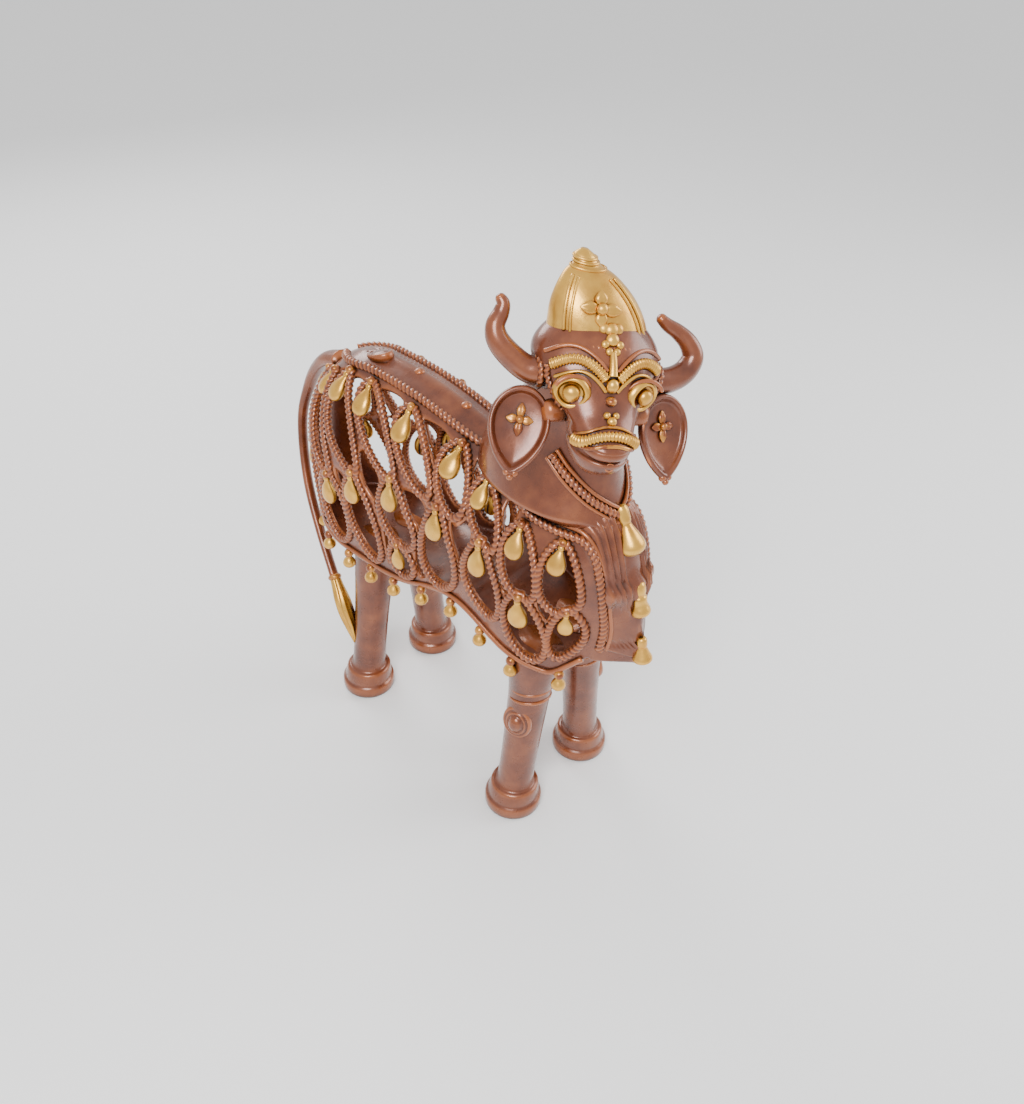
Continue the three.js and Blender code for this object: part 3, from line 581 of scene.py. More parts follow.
def keel_bell(gold, at, way, length, radius, tube):
    shape = [(-0.06, 0.7 * tube), (0.04, tube), (0.26, tube), (0.33, 0.86 * tube), (0.42, 1.05 * tube),
             (0.6, 0.78 * radius), (0.78, radius), (0.9, 0.92 * radius), (0.98, 0.55 * radius)]
    lathe(gold, [(h * length, r) for h, r in turned(shape, 26)], at, way, sides=28, mark=GOLD)


# Legs on two-tiered hooves
HOOF = [(0, 13.2), (0.7, 14.0), (1.6, HOOF_RADIUS), (5.8, HOOF_RADIUS), (6.6, 13.8), (7.1, 13.0), (7.7, 12.6),
        (8.6, 12.9), (12.6, 12.0), (13.8, 11.9), (14.6, 11.3), (14.9, 10.2), (15.2, 9.5)]


def leg(piece, foot, top, thigh):
    sides = 44
    hip = float(hem_height(foot[1]))
    shaft = turned([(17, 9.0), (30, 8.9), (45, 9.1), (62, 9.6), (76, 10.2), (hip - 12, thigh - 0.9),
                    (hip - 4, thigh - 0.1), (hip, thigh)], 40)
    angle = 2 * np.pi * np.arange(sides) / sides
    rings = []
    for z, radius in [*HOOF, *shaft]:
        x = mix(foot[0], top, np.clip((z - 8) / (LEG_TOP_Z - 12), 0, 1))
        y = foot[1] + radius * np.sin(angle)
        height = np.full(sides, z) if z < hip - 1e-6 else hem_height(y) + 0.2
        rings.append(np.stack([x + radius * np.cos(angle), y, height], -1))
    skin_rings(piece, rings)


def knee(piece, foot, top):
    side = math.copysign(1, foot[0])
    x = mix(foot[0], top, 0.5)
    at = vec(x + side * 5.5, foot[1] - 1, 60)
    way = vec(side, -0.25, 0.1)
    profile = [(0, 9.3), (2.4, 9.3), (3.3, 8.9), (3.7, 8.0), (3.3, 7.4), (3.2, 6.9), (4.1, 6.5), (4.4, 5.8),
               (4.0, 5.2), (3.9, 4.8), (4.8, 4.4), (5.9, 3.4), (6.6, 2.0), (6.8, 0.8)]
    lathe(piece, profile, at, way, side=(0, 0, 1), sides=32, flat=0.8)
    for height in (72.5, 77.5):
        lean = mix(foot[0], top, (height - 8) / (LEG_TOP_Z - 12))
        angle = np.linspace(-1.9, 1.25, 40)
        heading = -math.pi / 2 + side * (angle + 0.75)
        line = np.stack([lean + 9.9 * np.cos(heading), foot[1] + 9.9 * np.sin(heading),
                         height + 2.2 * np.cos(angle + 0.2)], -1)
        out = np.stack([np.cos(heading), np.sin(heading), 0 * heading], -1)
        tube(piece, line, 1.0 * ridge(angle + 0.325, 1.62), out, sides=8)


# Neck
NECK_SEAM = [(-86, 0), (-83, 0.3), (-75, 0.44), (-60, 0.46), (-44, 0.38), (-30, 0.25), (-16, 0.13), (-8, 0)]
NECK_MIDDLE_U = -46
NECK = [
    (180, 25.5, -82, -50, -8), (190, 22, -79, -45, -10), (202, 18, -77, -45, -18),
    (214, 15.3, -75, -46, -26), (228, 14, -72, -50, -34), (240, 13, -70, -54, -38),
]


def level_ring(half, front, widest, back, count):
    """A level ring as x and y, from the front round the left side."""
    angle = 2 * np.pi * np.arange(count) / count
    ahead = np.cos(angle)
    y = np.where(ahead > 0, mix(widest, front, ahead), mix(widest, back, -ahead))
    return -half * np.sin(angle), y


def neck_rings():
    count = 72
    half = curve(NECK_SEAM, count // 2 + 1)

    def seam(scale, inset):
        u = mix(NECK_MIDDLE_U, half[:, 0], scale)
        v = np.maximum(half[:, 1], 0) * scale
        right = skin(u, v, inset, -1)
        left = skin(u, v, inset, 1)
        return np.concatenate([right, left[1:-1][::-1]])

    table = curve(NECK, 40)
    rings = []
    for z, half_width, front, widest, back in table:
        x, y = level_ring(half_width, front, widest, back, count)
        rings.append(np.stack([x, y, np.full(count, z)], -1))
    first = np.asarray(rings[0])
    low = seam(1.0, 1.5)
    foot = seam(0.97, -0.3)
    blend = [mix(foot, first, t) for t in (0.3, 0.65)]
    return [seam(0.5, 1.5), low, foot, *blend, *rings]


STRAP = [(17.5, -58, 205), (16.6, -66, 198), (12.5, -74.5, 190), (6.5, -80.5, 184), (1.2, -82.6, 180)]


def straps(piece):
    for side in (-1, 1):
        path = np.array([(side * x, y, z) for x, y, z in STRAP], float)
        line = curve(path, 60)
        out = unit(np.stack([line[:, 0], line[:, 1] + 46, 0 * line[:, 0]], -1))
        forward = unit(np.gradient(line, axis=0))
        across = np.cross(forward, out)
        rope(piece, line - out * 0.3, out, radius=1.7, pitch=2.2)
        for offset in (-2.9, 2.9):
            tube(piece, line + across * offset - out * 0.5, 0.9, out, sides=8)


# Head
def head_point(x, y, z):
    rise = z - HEAD_AT[2]
    side = x * math.cos(HEAD_TILT) + rise * math.sin(HEAD_TILT)
    height = rise * math.cos(HEAD_TILT) - x * math.sin(HEAD_TILT)
    return np.stack([
        HEAD_AT[0] + side * math.cos(HEAD_TURN) + y * math.sin(HEAD_TURN),
        HEAD_AT[1] - side * math.sin(HEAD_TURN) + y * math.cos(HEAD_TURN),
        HEAD_AT[2] + height + 0 * y,
    ], -1)


def head_way(x, y, z):
    return head_point(x, y, z + HEAD_AT[2]) - HEAD_AT


SKULL = [
    (210, 6, -34, -28, -20), (213, 9.5, -38, -27, -15), (217.5, 11.5, -40.5, -25, -10),
    (219.5, 11, -38.5, -24, -8), (223, 12.2, -41, -24, -6), (227, 13, -37, -20, 0),
    (232, 18, -30.5, -10, 8), (238, 23, -25.5, -3, 14), (244, 25, -22.5, -2, 16),
    (250, 22.5, -18.5, -1, 15), (256, 16, -12, 0, 12), (260, 8, -5, 1, 7),
]
SKULL_FINE = curve(SKULL, 90)


def skull(piece):
    count = 84
    rings = []
    for z, half, front, widest, back in SKULL_FINE:
        x, y = level_ring(half, front, widest, back, count)
        rings.append(head_point(x, y, np.full(count, z)))
    skin_rings(piece, rings)


def face_y(x, z):
    """Where the front of the skull lies at a place seen from the front."""
    half, front, widest = (np.interp(z, SKULL_FINE[:, 0], SKULL_FINE[:, k]) for k in (1, 2, 3))
    share = np.clip(np.abs(x) / half, 0, 0.999)
    return mix(widest, front, np.sqrt(1 - share ** 2))


def face_line(places, lift, count):
    """A line on the face through places (x, z) seen from the front, and the way out of it."""
    line = curve(places, count)
    x, z = line[:, 0], line[:, 1]
    y = face_y(x, z)
    slope = (face_y(x + 0.5, z) - face_y(x - 0.5, z))
    out = unit(np.stack([slope, -np.ones_like(x), 0.1 * np.ones_like(x)], -1))
    points = head_point(x + out[:, 0] * lift, y + out[:, 1] * lift, z)
    return points, head_way(out[:, 0], out[:, 1], out[:, 2])


def ribbed(piece, points, out, radius, pitch, depth=0.14, flat=1.0, mark=BROWN, sides=12):
    """A band with ribs straight across it."""
    rows, length = resample(points, pitch / 6)
    out = take(out, rows)
    points = take(points, rows)
    phase = 2 * np.pi * length / pitch * np.arange(len(points)) / len(points)
    taper = np.clip(np.minimum(np.arange(len(points)), np.arange(len(points))[::-1]) / 4, 0.25, 1)
    wave = radius * (1 + depth * np.cos(phase)) * taper
    tube(piece, points, wave, out, sides, flat=flat, mark=mark)


def brow_places(side, rise, outer, drop):
    t = np.linspace(0, 1, 9)
    x = side * mix(2.0, outer, t)
    z = 239.5 - drop + rise * np.sin(np.pi * (0.1 + 0.78 * t)) ** 0.8
    return np.stack([x, z], -1)


def face(piece, gold):
    for side in (-1, 1):
        points, out = face_line(brow_places(side, 8.6, 21, 0), 0.5, 80)
        ribbed(gold, points, out, 2.0, 1.25, flat=0.7, mark=GOLD)
        points, out = face_line(brow_places(side, 8.4, 19, 3.2), 0.5, 70)
        tube(gold, points, 0.8, out, sides=8, mark=GOLD)
        points, out = face_line(brow_places(side, 8.9, 22.5, -3.0), 0.2, 80)
        tube(piece, points, 0.9, out, sides=8)
        eye(piece, gold, side)
    nose(piece, gold)
    mouth(piece, gold)


def eye(piece, gold, side):
    x, z = side * 13.5, 237.2
    at = head_point(x, float(face_y(x, z)) + 0.6, z)
    way = head_way(side * 0.42, -1, 0.05)
    up = head_way(0, 0, 1)
    rim = [(0, 6.6), (1.2, 6.5), (2.2, 5.9), (2.6, 5.2), (2.3, 4.5), (1.5, 4.0), (1.4, 3.0), (1.4, 1.0)]

    def almond(distance, angle, radius):
        return radius * (1 + 0.10 * np.abs(np.sin(angle)) ** 6)

    lathe(gold, turned(rim, 22), at, way, up, sides=36, mark=GOLD, shape=almond)
    ball(gold, at + way * 2.3, 3.2, GOLD, up=way, squash=0.75, rings=11, sides=22)
    lid = np.linspace(-1.15, 1.15, 30)
    side_way = head_way(1, 0, 0)
    line = (at + way * 1.6 + up * (6.6 * np.cos(lid))[:, None] + side_way * (7.2 * np.sin(lid))[:, None])
    tube(piece, line, 0.8, way, sides=8)


def nose(piece, gold):
    z = np.array([251.5, 249, 246.5, 244.5])
    line = head_point(0 * z, face_y(0 * z, z) - 0.2, z)
    tube(gold, curve(line, 24), np.linspace(1.2, 2.1, 24), head_way(0, -1, 0), sides=12, mark=GOLD)
    for height, radius, squash, mark in ((241.6, 2.5, 1.15, GOLD), (236.9, 2.2, 0.8, AMBER)):
        at = head_point(0, float(face_y(0, height)) - 0.5, height)
        ball(gold, at, radius, mark, up=head_way(0, 0, 1), squash=squash)
    for x, height, radius in ((-1.7, 232.9, 1.4), (1.7, 232.9, 1.4), (0, 231.4, 1.9)):
        at = head_point(x, float(face_y(x, height)) - 0.6, height)
        ball(gold, at, radius, GOLD)
    for x, height, radius in ((0, 254.6, 2.6), (-2.8, 253.4, 1.6), (2.8, 253.4, 1.6), (-1.4, 251.6, 1.5),
                              (1.4, 251.6, 1.5), (0, 257.0, 2.8), (-2.6, 257.2, 2.2), (2.6, 257.2, 2.2)):
        at = head_point(x, float(face_y(x, height)) - 0.3, height)
        ball(gold, at, radius, GOLD, up=head_way(0, -1, 0.6), squash=0.7)


def mouth(piece, gold):
    reach = np.linspace(-1, 1, 13)
    arch = np.stack([11.6 * reach, 227.8 - 5.4 * np.abs(reach) ** 2.2], -1)
    points, out = face_line(arch, 0.5, 90)
    ribbed(gold, points, out, 2.05, 1.3, flat=0.8, mark=GOLD)
    for shift, radius in ((-2.3, 0.8), (2.2, 0.7)):
        points, out = face_line(arch + [0, shift], 0.3, 80)
        tube(gold, points, radius, out, sides=8, mark=AMBER)
    # The rounded upper muzzle and the lower lip with its small hole
    for z, y, wide, high, deep in ((221.6, -31.5, 9.6, 4.6, 9.8), (216.2, -31.0, 8.6, 4.2, 8.8)):
        rings = []
        for a in np.linspace(0.1, math.pi - 0.1, 22):
            b = 2 * np.pi * np.arange(44) / 44
            rings.append(head_point(wide * np.sin(a) * np.cos(b), y - deep * np.sin(a) * np.sin(b),
                                    z + high * np.cos(a) + 0 * b))
        skin_rings(piece, rings)
    # painted shade: the inside of the lip's small hole is painted near black
    at = head_point(0.3, -39.2, 217.0)
    lathe(piece, [(-1, 0.9), (0.5, 1.9), (0.9, 1.7), (0.8, 1.1), (0.2, 0.9), (-0.4, 0.6)], at,
          head_way(0, -1, 0.1), sides=18, mark=lambda rows, columns: np.where(rows > 3, PAINTED_SHADE, BROWN))


# Crown: rings of (z, half width, front, widest, back, lean)
CROWN = [
    (247, 20.5, -15, 0, 13, 0.5), (253, 19.8, -12.5, 1, 12.5, -0.5), (260, 18, -9.5, 2, 12, -2.5),
    (266, 14.8, -6, 3, 11, -4.5), (271, 10.4, -1.5, 5, 10, -6.5), (273.5, 6.6, 1.5, 6, 10, -7.8),
    (274.5, 5, 2.8, 7, 10.5, -8.4), (277, 4, 4.4, 8, 11, -9.3), (279, 1.4, 6.8, 8, 9.4, -9.8),
]
CROWN_FINE = curve(CROWN, 70)


def crown_front(x, z):
    """Where the front of the crown lies at a place seen from the front."""
    half, front, widest, lean = (np.interp(z, CROWN_FINE[:, 0], CROWN_FINE[:, k]) for k in (1, 2, 3, 5))
    share = np.clip(np.abs(x - lean) / half, 0, 0.995)
    return mix(widest, front, np.sqrt(1 - share ** 2))


def crown_line(places, lift, count):
    line = curve(places, count)
    x, z = line[:, 0], line[:, 1]
    y = crown_front(x, z) - lift
    out = head_way(*(unit(np.stack([crown_front(x + 0.4, z) - crown_front(x - 0.4, z),
                                    -0.8 * np.ones_like(x), 0.3 * np.ones_like(x)], -1)).T))
    return head_point(x, y, z), out


def crown(piece, gold):
    count = 84
    rings = []
    for z, half, front, widest, back, lean in CROWN_FINE:
        x, y = level_ring(half, front, widest, back, count)
        rings.append(head_point(x + lean, y, np.full(count, z)))
    skin_rings(gold, rings, GOLD)
    for side in (-1, 1):
        for offset, radius in ((0, 0.75), (2.4, 0.6)):
            places = []
            for z in (254, 259, 264, 268, 271.5):
                half, lean = (np.interp(z, CROWN_FINE[:, 0], CROWN_FINE[:, k]) for k in (1, 5))
                places.append((lean + side * (half * 0.80 - offset * 0.8), z))
            points, out = crown_line(places, 0.1, 40)
            tube(gold, points, radius, out, sides=8, mark=GOLD)
    flower(gold, head_point(-4.6, float(crown_front(-4.6, 263.4)) - 0.3, 263.4), head_way(-0.12, 0.42, 1),
           head_way(1, 0, -0.05), head_way(0, -1, 0.42), (6.6, 8.2, 6.6, 8.2), 2.4, GOLD)
    # Ribs of the knob at the top
    for z in (273.4, 275.0, 276.4):
        half, front, widest, back, lean = (np.interp(z, CROWN_FINE[:, 0], CROWN_FINE[:, k])
                                           for k in (1, 2, 3, 4, 5))
        x, y = level_ring(half, front, widest, back, 40)
        line = head_point(x + lean, y, np.full(40, z))
        tube(gold, line, 0.6, unit(line - line.mean(axis=0)), sides=8, closed=True, mark=GOLD)
    headband(piece)


def headband(piece):
    angle = np.linspace(-1.62, 1.62, 60)
    for scale, height, radius, kind in ((1.0, 250.6, 1.5, "rope"), (1.035, 247.9, 1.2, "beads"),
                                        (1.02, 245.4, 1.4, "plain")):
        x = 20.6 * scale * np.sin(angle)
        y = 0.5 - 15.6 * scale * np.cos(angle)
        line = head_point(x, y, height + 4.2 * np.cos(angle) - 3.4)
        out = unit(head_way(x / 20.6, y / 15.6, 0.35 + 0 * x))
        if kind == "rope":
            rope(piece, line, out, radius=radius, pitch=1.9)
        elif kind == "plain":
            tube(piece, line, radius, out, sides=10)
        else:
            ribbed(piece, line, out, radius, 1.7, depth=0.3)


def flower(piece, at, up, across, out, lengths, width, mark):
    """Four pointed petals with a groove down each, and a middle bead."""
    up, across, out = unit(up), unit(across), unit(out)
    for turn, length in enumerate(lengths):
        angle = turn * math.pi / 2
        way = up * math.cos(angle) + across * math.sin(angle)
        profile = curve([(0.6, 0.8), (length * 0.35, width * 0.9), (length * 0.6, width),
                         (length * 0.85, width * 0.55), (length, 0.2)], 14)

        def grooved(distance, around, radius):
            front = np.exp(-(((around - 1.5 * np.pi) / 0.35) ** 2))
            return radius * (1 - 0.3 * front)

        lathe(piece, profile, at, way, np.cross(way, out), sides=20, flat=0.55, mark=mark, shape=grooved)
    ball(piece, at + out * 0.9, width * 0.95, mark, up=out, squash=0.8)


# Horns: (x, y, z, radius) in the head's frame from the skull outwards, the right one first
HORNS = [
    [(-17, -5, 238, 5.6), (-20, -5.4, 237.4, 5.6), (-23.5, -6, 236.8, 5.5), (-27.9, -5, 237.7, 5),
     (-33.9, -3, 241.5, 4.7), (-38.2, -1, 245.7, 4.3), (-39.4, 1, 250, 3.7), (-37.6, 3, 254.2, 3.1),
     (-37.2, 4, 257.3, 2.6), (-38.6, 5, 259.4, 1.9)],
    [(18, -5, 238, 5.6), (21.5, -5.4, 236.8, 5.6), (25.5, -6, 235.4, 5.5), (32.4, -5, 236.2, 5),
     (38.4, -3, 239.2, 4.7), (40.8, -1, 244.3, 4.3), (38.3, 1, 249, 3.7), (33.8, 3, 252.2, 3.1),
     (29, 4, 254.4, 2.6), (25.6, 5, 256.6, 2.0)],
]


def horns(piece):
    for points in HORNS:
        fine = curve(points, 60)
        line = head_point(fine[:, 0], fine[:, 1], fine[:, 2])
        tube(piece, line, fine[:, 3], head_way(0, -1, 0), sides=26)
        tip = unit(line[-1] - line[-2])
        ball(piece, line[-1] - tip * 0.2, float(fine[-1, 3]) * 0.98, up=tip, squash=0.7)
        for place, radius in ((0.10, 6.6), (0.20, 7.0), (0.30, 6.4)):
            k = int(place * 40)
            at, way = line[k], unit(line[k + 1] - line[k - 1] if k else line[1] - line[0])
            side = unit(np.cross(way, vec(0, 0, 1)))
            over = np.cross(side, way)
            angle = 2 * np.pi * np.arange(48) / 48
            ring = at + radius * 0.88 * (side * np.cos(angle)[:, None] + over * np.sin(angle)[:, None])
            rope(piece, ring, unit(ring - at), radius=1.25, pitch=2.1, closed=True)


# Ears: hanging leaves, hollowed in front inside a raised rim
EAR = {"x": 29, "y": -17, "z": 221, "half": 11.5, "up": 13.5, "down": 20, "tilt": 30, "sweep": 15}


def ear_place(side):
    tilt, sweep = math.radians(EAR["tilt"]), math.radians(EAR["sweep"])
    across = head_way(side * math.cos(sweep), math.sin(sweep), 0)
    lean = head_way(0, math.sin(tilt), math.cos(tilt))
    front = unit(np.cross(across, lean) * side)
    up = unit(np.cross(front, across) * side)
    return head_point(side * EAR["x"], EAR["y"], EAR["z"]), across, up, front


def ear(piece, side):
    middle, across, up, front = ear_place(side)
    count = 72
    angle = 2 * np.pi * np.arange(count) / count
    s, c = np.sin(angle), np.cos(angle)
    narrowing = np.where(c > 0, 1, 1 - 0.35 * c * c) * np.where(c < 0, 1 - 0.35 * np.abs(c) ** 8, 1)
    height = np.where(c > 0, EAR["up"] * c, EAR["down"] * c)

    def ring(scale, depth):
        return (middle + across * (EAR["half"] * scale * s * narrowing)[:, None]
                + up * (height * scale)[:, None] + front * depth)

    shape = curve([(0.05, -3.1), (0.5, -2.7), (0.88, -1.9), (0.99, -0.4), (1.0, 0.9), (0.96, 1.9),
                   (0.90, 2.1), (0.85, 1.6), (0.80, 0.6), (0.72, -0.1), (0.4, -0.6), (0.05, -0.7)], 46)
    skin_rings(piece, [ring(scale, depth) for scale, depth in shape])
    inner = s * side < 0.25
    start = int(np.argmax(~np.roll(inner, 0))) if inner[0] else 0
    order = np.roll(np.arange(count), -start)
    chosen = [k for k in order if inner[k]]
    chosen = sorted(chosen, key=lambda k: (angle[k] + (math.pi / 2 if side > 0 else -math.pi / 2)) % (2 * np.pi))
    edge = ring(0.97, 1.2)[chosen]
    gaps = np.linalg.norm(np.diff(edge, axis=0), axis=1)
    if len(gaps) and gaps.max() < 8:
        rope(piece, edge, front, radius=1.5, pitch=2.3)
    at = middle + front * 0.1 + up * 1.0
    flower(piece, at, up, across, front, (6.2, 5.2, 6.2, 5.2), 1.7, AMBER)
    root = middle - across * (EAR["half"] - 2) + up * 6
    lathe(piece, [(-2, 3.4), (0, 4.2), (4, 4.6), (8, 5)], root, head_way(-side, 0.35, 0), front, sides=24)
    tip = middle - up * (EAR["down"] - 0.6)
    for k, (dx, dz) in enumerate(((-1.4, 0.8), (1.4, 0.8), (0, -0.9))):
        ball(piece, tip + across * dx + up * dz + front * 0.6, 1.6 - 0.1 * k)


def cheek_bands(piece):
    """Roped bands down each side of the face, from the horn to the ear."""
    for side in (-1, 1):
        places = [(side * 21.5, 243), (side * 20.6, 238.5), (side * 17.6, 233), (side * 14.2, 228)]
        points, out = face_line(places, 0.1, 40)
        rope(piece, points, out, radius=1.3, pitch=2.0)


# Tail: a band that leaves the rump and ends in a tassel on the leg
TAIL = [
    (0, 92, 182, 6), (0, 104, 177, 5.5), (0, 114, 167, 4.6), (-1, 121, 154, 3.6), (-4, 124, 139, 3.1),
    (-8.5, 120, 121, 3), (-14, 110.5, 102, 3), (-19.5, 96, 82, 3), (-24.5, 81, 65, 3), (-27.5, 71, 53, 4.6),
    (-28, 64.5, 41, 3.6), (-28.5, 61, 31, 1.2),
]


def tail(piece, gold):
    fine = curve(TAIL, 110)
    line, radius = fine[:, :3], fine[:, 3]
    out = unit(np.gradient(line, axis=0))
    side_way = vec(0, 1, 0.3)
    hair = int(len(line) * 8.2 / 11)
    tube(piece, line[:hair], radius[:hair] * 0.97, side_way, sides=22, flat=0.75)
    angle = 2 * np.pi * np.arange(30) / 30
    strands = 1 + 0.13 * np.cos(9 * angle)[None] * np.ones((len(line) - hair + 1, 1))
    sheet = (radius[hair - 1:] * 0.94)[:, None] * strands
    tube(gold, line[hair - 1:], sheet, side_way, sides=30, flat=0.8, mark=GOLD)
    knot = line[hair - 1]
    ball(gold, knot, 3.7, AMBER, up=out[hair - 1], squash=0.6)


def back_ornaments(piece):
    disc = [(-3, 7.7), (0.4, 7.6), (1.2, 7.3), (1.5, 6.6), (1.1, 5.9), (1.0, 5.3), (1.5, 4.6), (1.8, 2)]
    lathe(piece, disc, skin(70, 0.04), (0, 0.35, 1), (0, 1, 0), sides=44, flat=0.72)
    for u in (36, 6):
        lathe(piece, [(-2, 2.5), (1.0, 2.4), (1.8, 1.7), (2.1, 0.6)], skin(u, 0.0), (0, 0, 1), sides=20)


# Finishes
def nodes_of(name):
    finish = bpy.data.materials.new(name)
    finish.use_nodes = True
    tree = finish.node_tree
    tree.nodes.clear()
    output = tree.nodes.new("ShaderNodeOutputMaterial")
    shader = tree.nodes.new("ShaderNodeBsdfPrincipled")
    tree.links.new(shader.outputs[0], output.inputs[0])
    return finish, tree, shader


def ramp(tree, source, stops):
    node = tree.nodes.new("ShaderNodeValToRGB")
    tree.links.new(source, node.inputs[0])
    elements = node.color_ramp.elements
    while len(elements) < len(stops):
        elements.new(0.5)
    for element, (position, colour) in zip(elements, stops):
        element.position = position
        element.color = (*colour, 1)
    return node.outputs[0]


def noise(tree, scale, detail=4.0, rough=0.6):
    place = tree.nodes.new("ShaderNodeTexCoord")
    node = tree.nodes.new("ShaderNodeTexNoise")
    node.inputs["Scale"].default_value = scale
    node.inputs["Detail"].default_value = detail
    node.inputs["Roughness"].default_value = rough
    tree.links.new(place.outputs["Object"], node.inputs["Vector"])
    return node.outputs["Fac"]


def blend(tree, factor, first, second, kind="MIX"):
    node = tree.nodes.new("ShaderNodeMix")
    node.data_type = "RGBA"
    node.blend_type = kind
    for value, socket in ((factor, node.inputs[0]), (first, node.inputs[6]), (second, node.inputs[7])):
        if isinstance(value, (int, float)):
            socket.default_value = value
        elif isinstance(value, tuple):
            socket.default_value = (*value, 1)
        else:
            tree.links.new(value, socket)
    return node.outputs[2]


def edge_wear(tree, low, high):
    geometry = tree.nodes.new("ShaderNodeNewGeometry")
    spread = tree.nodes.new("ShaderNodeMapRange")
    spread.inputs[1].default_value = low
    spread.inputs[2].default_value = high
    tree.links.new(geometry.outputs["Pointiness"], spread.inputs[0])
    return spread.outputs[0]


def hollows(tree, distance):
    shade = tree.nodes.new("ShaderNodeAmbientOcclusion")
    shade.inputs["Distance"].default_value = distance
    shade.samples = 8
    return shade.outputs["AO"]


def uneven(tree, shader, scale, strength, distance):
    bump = tree.nodes.new("ShaderNodeBump")
    bump.inputs["Strength"].default_value = strength
    bump.inputs["Distance"].default_value = distance
    tree.links.new(noise(tree, scale, 5, 0.6), bump.inputs["Height"])
    tree.links.new(bump.outputs[0], shader.inputs["Normal"])


def lacquer():
    finish, tree, shader = nodes_of("brown_lacquer")
    base = ramp(tree, noise(tree, 70), [(0.30, (0.10, 0.022, 0.008)), (0.52, (0.17, 0.042, 0.014)),
                                        (0.72, (0.25, 0.070, 0.022))])
    worn = blend(tree, edge_wear(tree, 0.515, 0.60), base, (0.46, 0.13, 0.030))
    # painted shade: ambient occlusion darkens the lacquer's colour towards near black in hollows and creases
    deep = ramp(tree, hollows(tree, 0.009), [(0.25, (0.10, 0.09, 0.09)), (0.75, (1, 1, 1))])
    colour = blend(tree, 1.0, worn, deep, "MULTIPLY")
    tree.links.new(colour, shader.inputs["Base Color"])
    rough = ramp(tree, noise(tree, 160), [(0.3, (0.22, 0.22, 0.22)), (0.75, (0.42, 0.42, 0.42))])
    tree.links.new(rough, shader.inputs["Roughness"])
    shader.inputs["Metallic"].default_value = 0.35
    shader.inputs["Coat Weight"].default_value = 0.55
    shader.inputs["Coat Roughness"].default_value = 0.16
    uneven(tree, shader, 220, 0.22, 0.0006)
    return finish


def polished():
    finish, tree, shader = nodes_of("polished_gold_brass")
    base = ramp(tree, noise(tree, 120), [(0.3, (0.62, 0.30, 0.045)), (0.6, (0.78, 0.43, 0.07)),
                                         (0.8, (0.86, 0.53, 0.11))])
    deep = ramp(tree, hollows(tree, 0.004), [(0.30, (0.16, 0.045, 0.02)), (0.72, (1, 1, 1))])
    colour = blend(tree, 1.0, base, deep, "MULTIPLY")
    tree.links.new(colour, shader.inputs["Base Color"])
    rough = ramp(tree, noise(tree, 200), [(0.3, (0.24, 0.24, 0.24)), (0.75, (0.40, 0.40, 0.40))])
    tree.links.new(rough, shader.inputs["Roughness"])
    shader.inputs["Metallic"].default_value = 0.85
    shader.inputs["Coat Weight"].default_value = 0.25
    shader.inputs["Coat Roughness"].default_value = 0.2
    uneven(tree, shader, 260, 0.18, 0.0005)
    return finish


def amber():
    finish, tree, shader = nodes_of("amber_lacquer")
    patches = ramp(tree, noise(tree, 190), [(0.42, (0.24, 0.06, 0.015)), (0.56, (0.58, 0.24, 0.035))])
    deep = ramp(tree, hollows(tree, 0.004), [(0.30, (0.15, 0.06, 0.04)), (0.72, (1, 1, 1))])
    tree.links.new(blend(tree, 1.0, patches, deep, "MULTIPLY"), shader.inputs["Base Color"])
    shader.inputs["Roughness"].default_value = 0.3
    shader.inputs["Metallic"].default_value = 0.6
    shader.inputs["Coat Weight"].default_value = 0.45
    shader.inputs["Coat Roughness"].default_value = 0.16
    uneven(tree, shader, 240, 0.2, 0.0005)
    return finish


def painted_shade_finish():
    # painted shade: a near-black finish standing in for the shade inside bell slits and the lip's hole
    finish, tree, shader = nodes_of("painted_shade_recess")
    colour = ramp(tree, noise(tree, 300), [(0.3, (0.010, 0.004, 0.002)), (0.7, (0.035, 0.012, 0.005))])
    tree.links.new(colour, shader.inputs["Base Color"])
    shader.inputs["Roughness"].default_value = 0.6
    return finish


def build():
    finishes = [lacquer(), polished(), amber(), painted_shade_finish()]
    body = Piece("cow_body")
    body_shell(body)
    borders(body)
    skin_rings(body, neck_rings())
    straps(body)
    for place in LEGS:
        leg(body, **place)
    for place in LEGS[:2]:
        knee(body, place["foot"], place["top"])
    back_ornaments(body)
    gold = Piece("gold_bells")
    net = Piece("rope_net")
    net_ropes(net)
    for side in (-1, 1):
        for loop in LOOPS:
            loop_bell(gold, loop, side)
        for u in HEM_DROPS:
            hem_drop(gold, u, side)
    for bell in KEEL_BELLS:
        keel_bell(gold, **bell)
    tail(body, gold)
    head = Piece("cow_head")
    trim = Piece("head_ornaments")
    skull(head)
    face(head, trim)
    crown(head, trim)
    horns(head)
    cheek_bands(head)
    for side in (-1, 1):
        ear(head, side)
    body.make(finishes, "cow_figure")
    for piece in (net, gold, head, trim):
        piece.make(finishes)


# Camera, floor and light
CAMERA_AT = vec(-273.43, -264.32, 416.31)
CAMERA_AZIMUTH = math.radians(-48.811)
CAMERA_ELEVATION = math.radians(38.457)
CAMERA_ROLL = math.radians(3.0)
LENS = 32.61


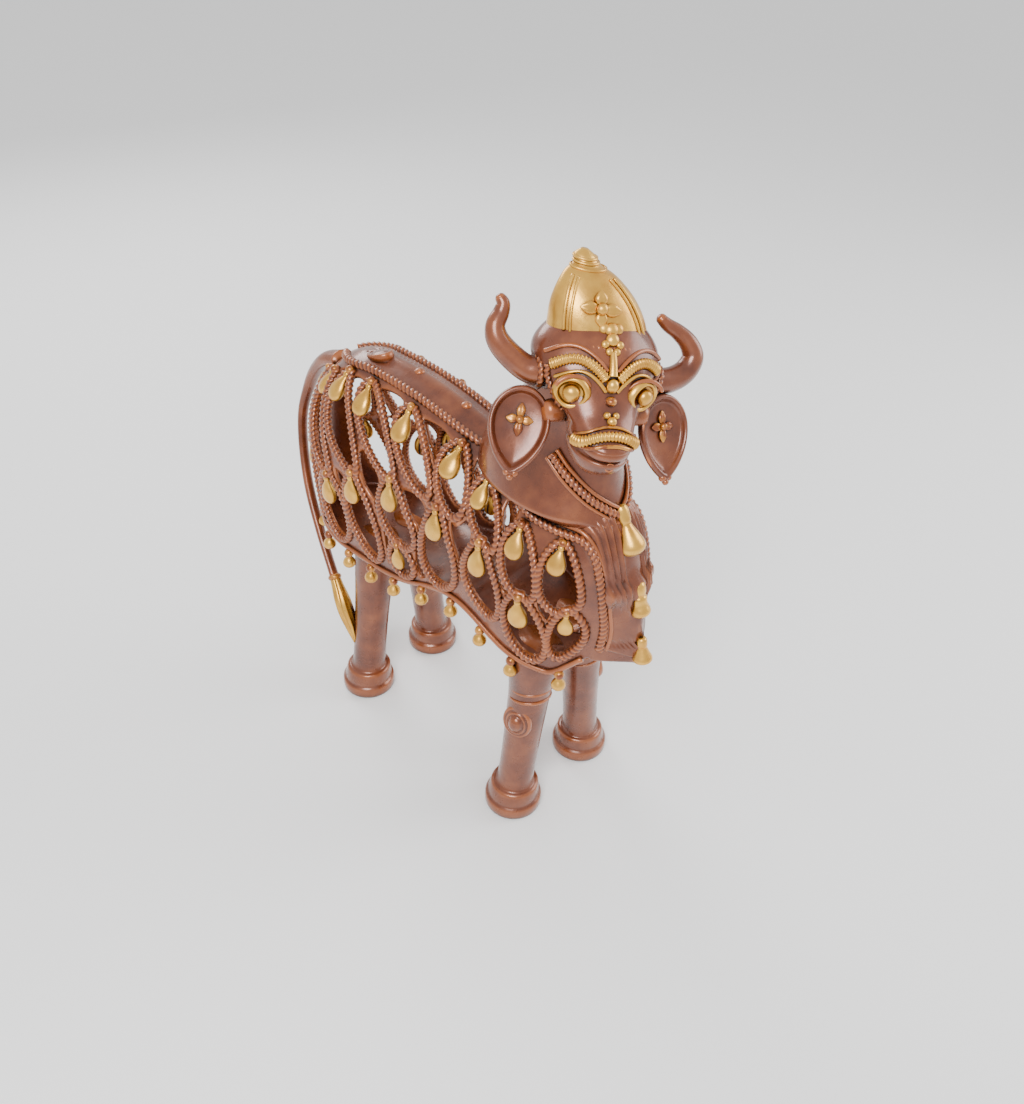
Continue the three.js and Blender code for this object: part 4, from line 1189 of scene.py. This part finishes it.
def camera():
    a, e, r = CAMERA_AZIMUTH, CAMERA_ELEVATION, CAMERA_ROLL
    back = Vector((math.sin(a) * math.cos(e), -math.cos(a) * math.cos(e), math.sin(e)))
    right = Vector((math.cos(a), math.sin(a), 0))
    up = back.cross(right)
    turned_right = right * math.cos(r) + up * math.sin(r)
    turned_up = up * math.cos(r) - right * math.sin(r)
    place = (CAMERA_AT - BOX_MIDDLE) / 1000
    lens = bpy.data.cameras.new("camera")
    lens.lens = LENS
    lens.sensor_fit = "AUTO"
    lens.sensor_width = 36
    lens.clip_start = 0.01
    eye_point = bpy.data.objects.new("camera", lens)
    rows = Matrix((turned_right, turned_up, back)).transposed().to_4x4()
    eye_point.matrix_world = Matrix.Translation(Vector(place)) @ rows
    bpy.context.scene.collection.objects.link(eye_point)
    bpy.context.scene.camera = eye_point


def floor():
    mesh = bpy.data.meshes.new("floor")
    reach = 3.0
    mesh.from_pydata([(-reach, -reach, 0), (reach, -reach, 0), (reach, reach, 0), (-reach, reach, 0)], [],
                     [(0, 1, 2, 3)])
    sheet = bpy.data.objects.new("floor", mesh)
    bpy.context.scene.collection.objects.link(sheet)
    finish, tree, shader = nodes_of("floor")
    shader.inputs["Base Color"].default_value = (0.95, 0.95, 0.95, 1)
    shader.inputs["Roughness"].default_value = 0.6
    mesh.materials.append(finish)


def lamp(name, at, target, size, power):
    light = bpy.data.lights.new(name, "AREA")
    light.shape = "RECTANGLE"
    light.size, light.size_y = size
    light.energy = power
    lit = bpy.data.objects.new(name, light)
    lit.location = at
    way = Vector(target) - Vector(at)
    lit.rotation_euler = way.to_track_quat("-Z", "Y").to_euler()
    bpy.context.scene.collection.objects.link(lit)


def studio():
    world = bpy.data.worlds.new("studio")
    world.use_nodes = True
    world.node_tree.nodes["Background"].inputs[0].default_value = (1, 1, 1, 1)
    world.node_tree.nodes["Background"].inputs[1].default_value = 1.0
    bpy.context.scene.world = world
    middle = (0, 0, 0.14)
    lamp("key", (-0.55, -0.35, 0.75), middle, (0.35, 0.35), 7)
    lamp("fill", (0.7, -0.5, 0.5), middle, (0.5, 0.5), 4)
    lamp("rim", (0.2, 0.8, 0.6), middle, (0.5, 0.3), 4)


build()
camera()
floor()
studio()
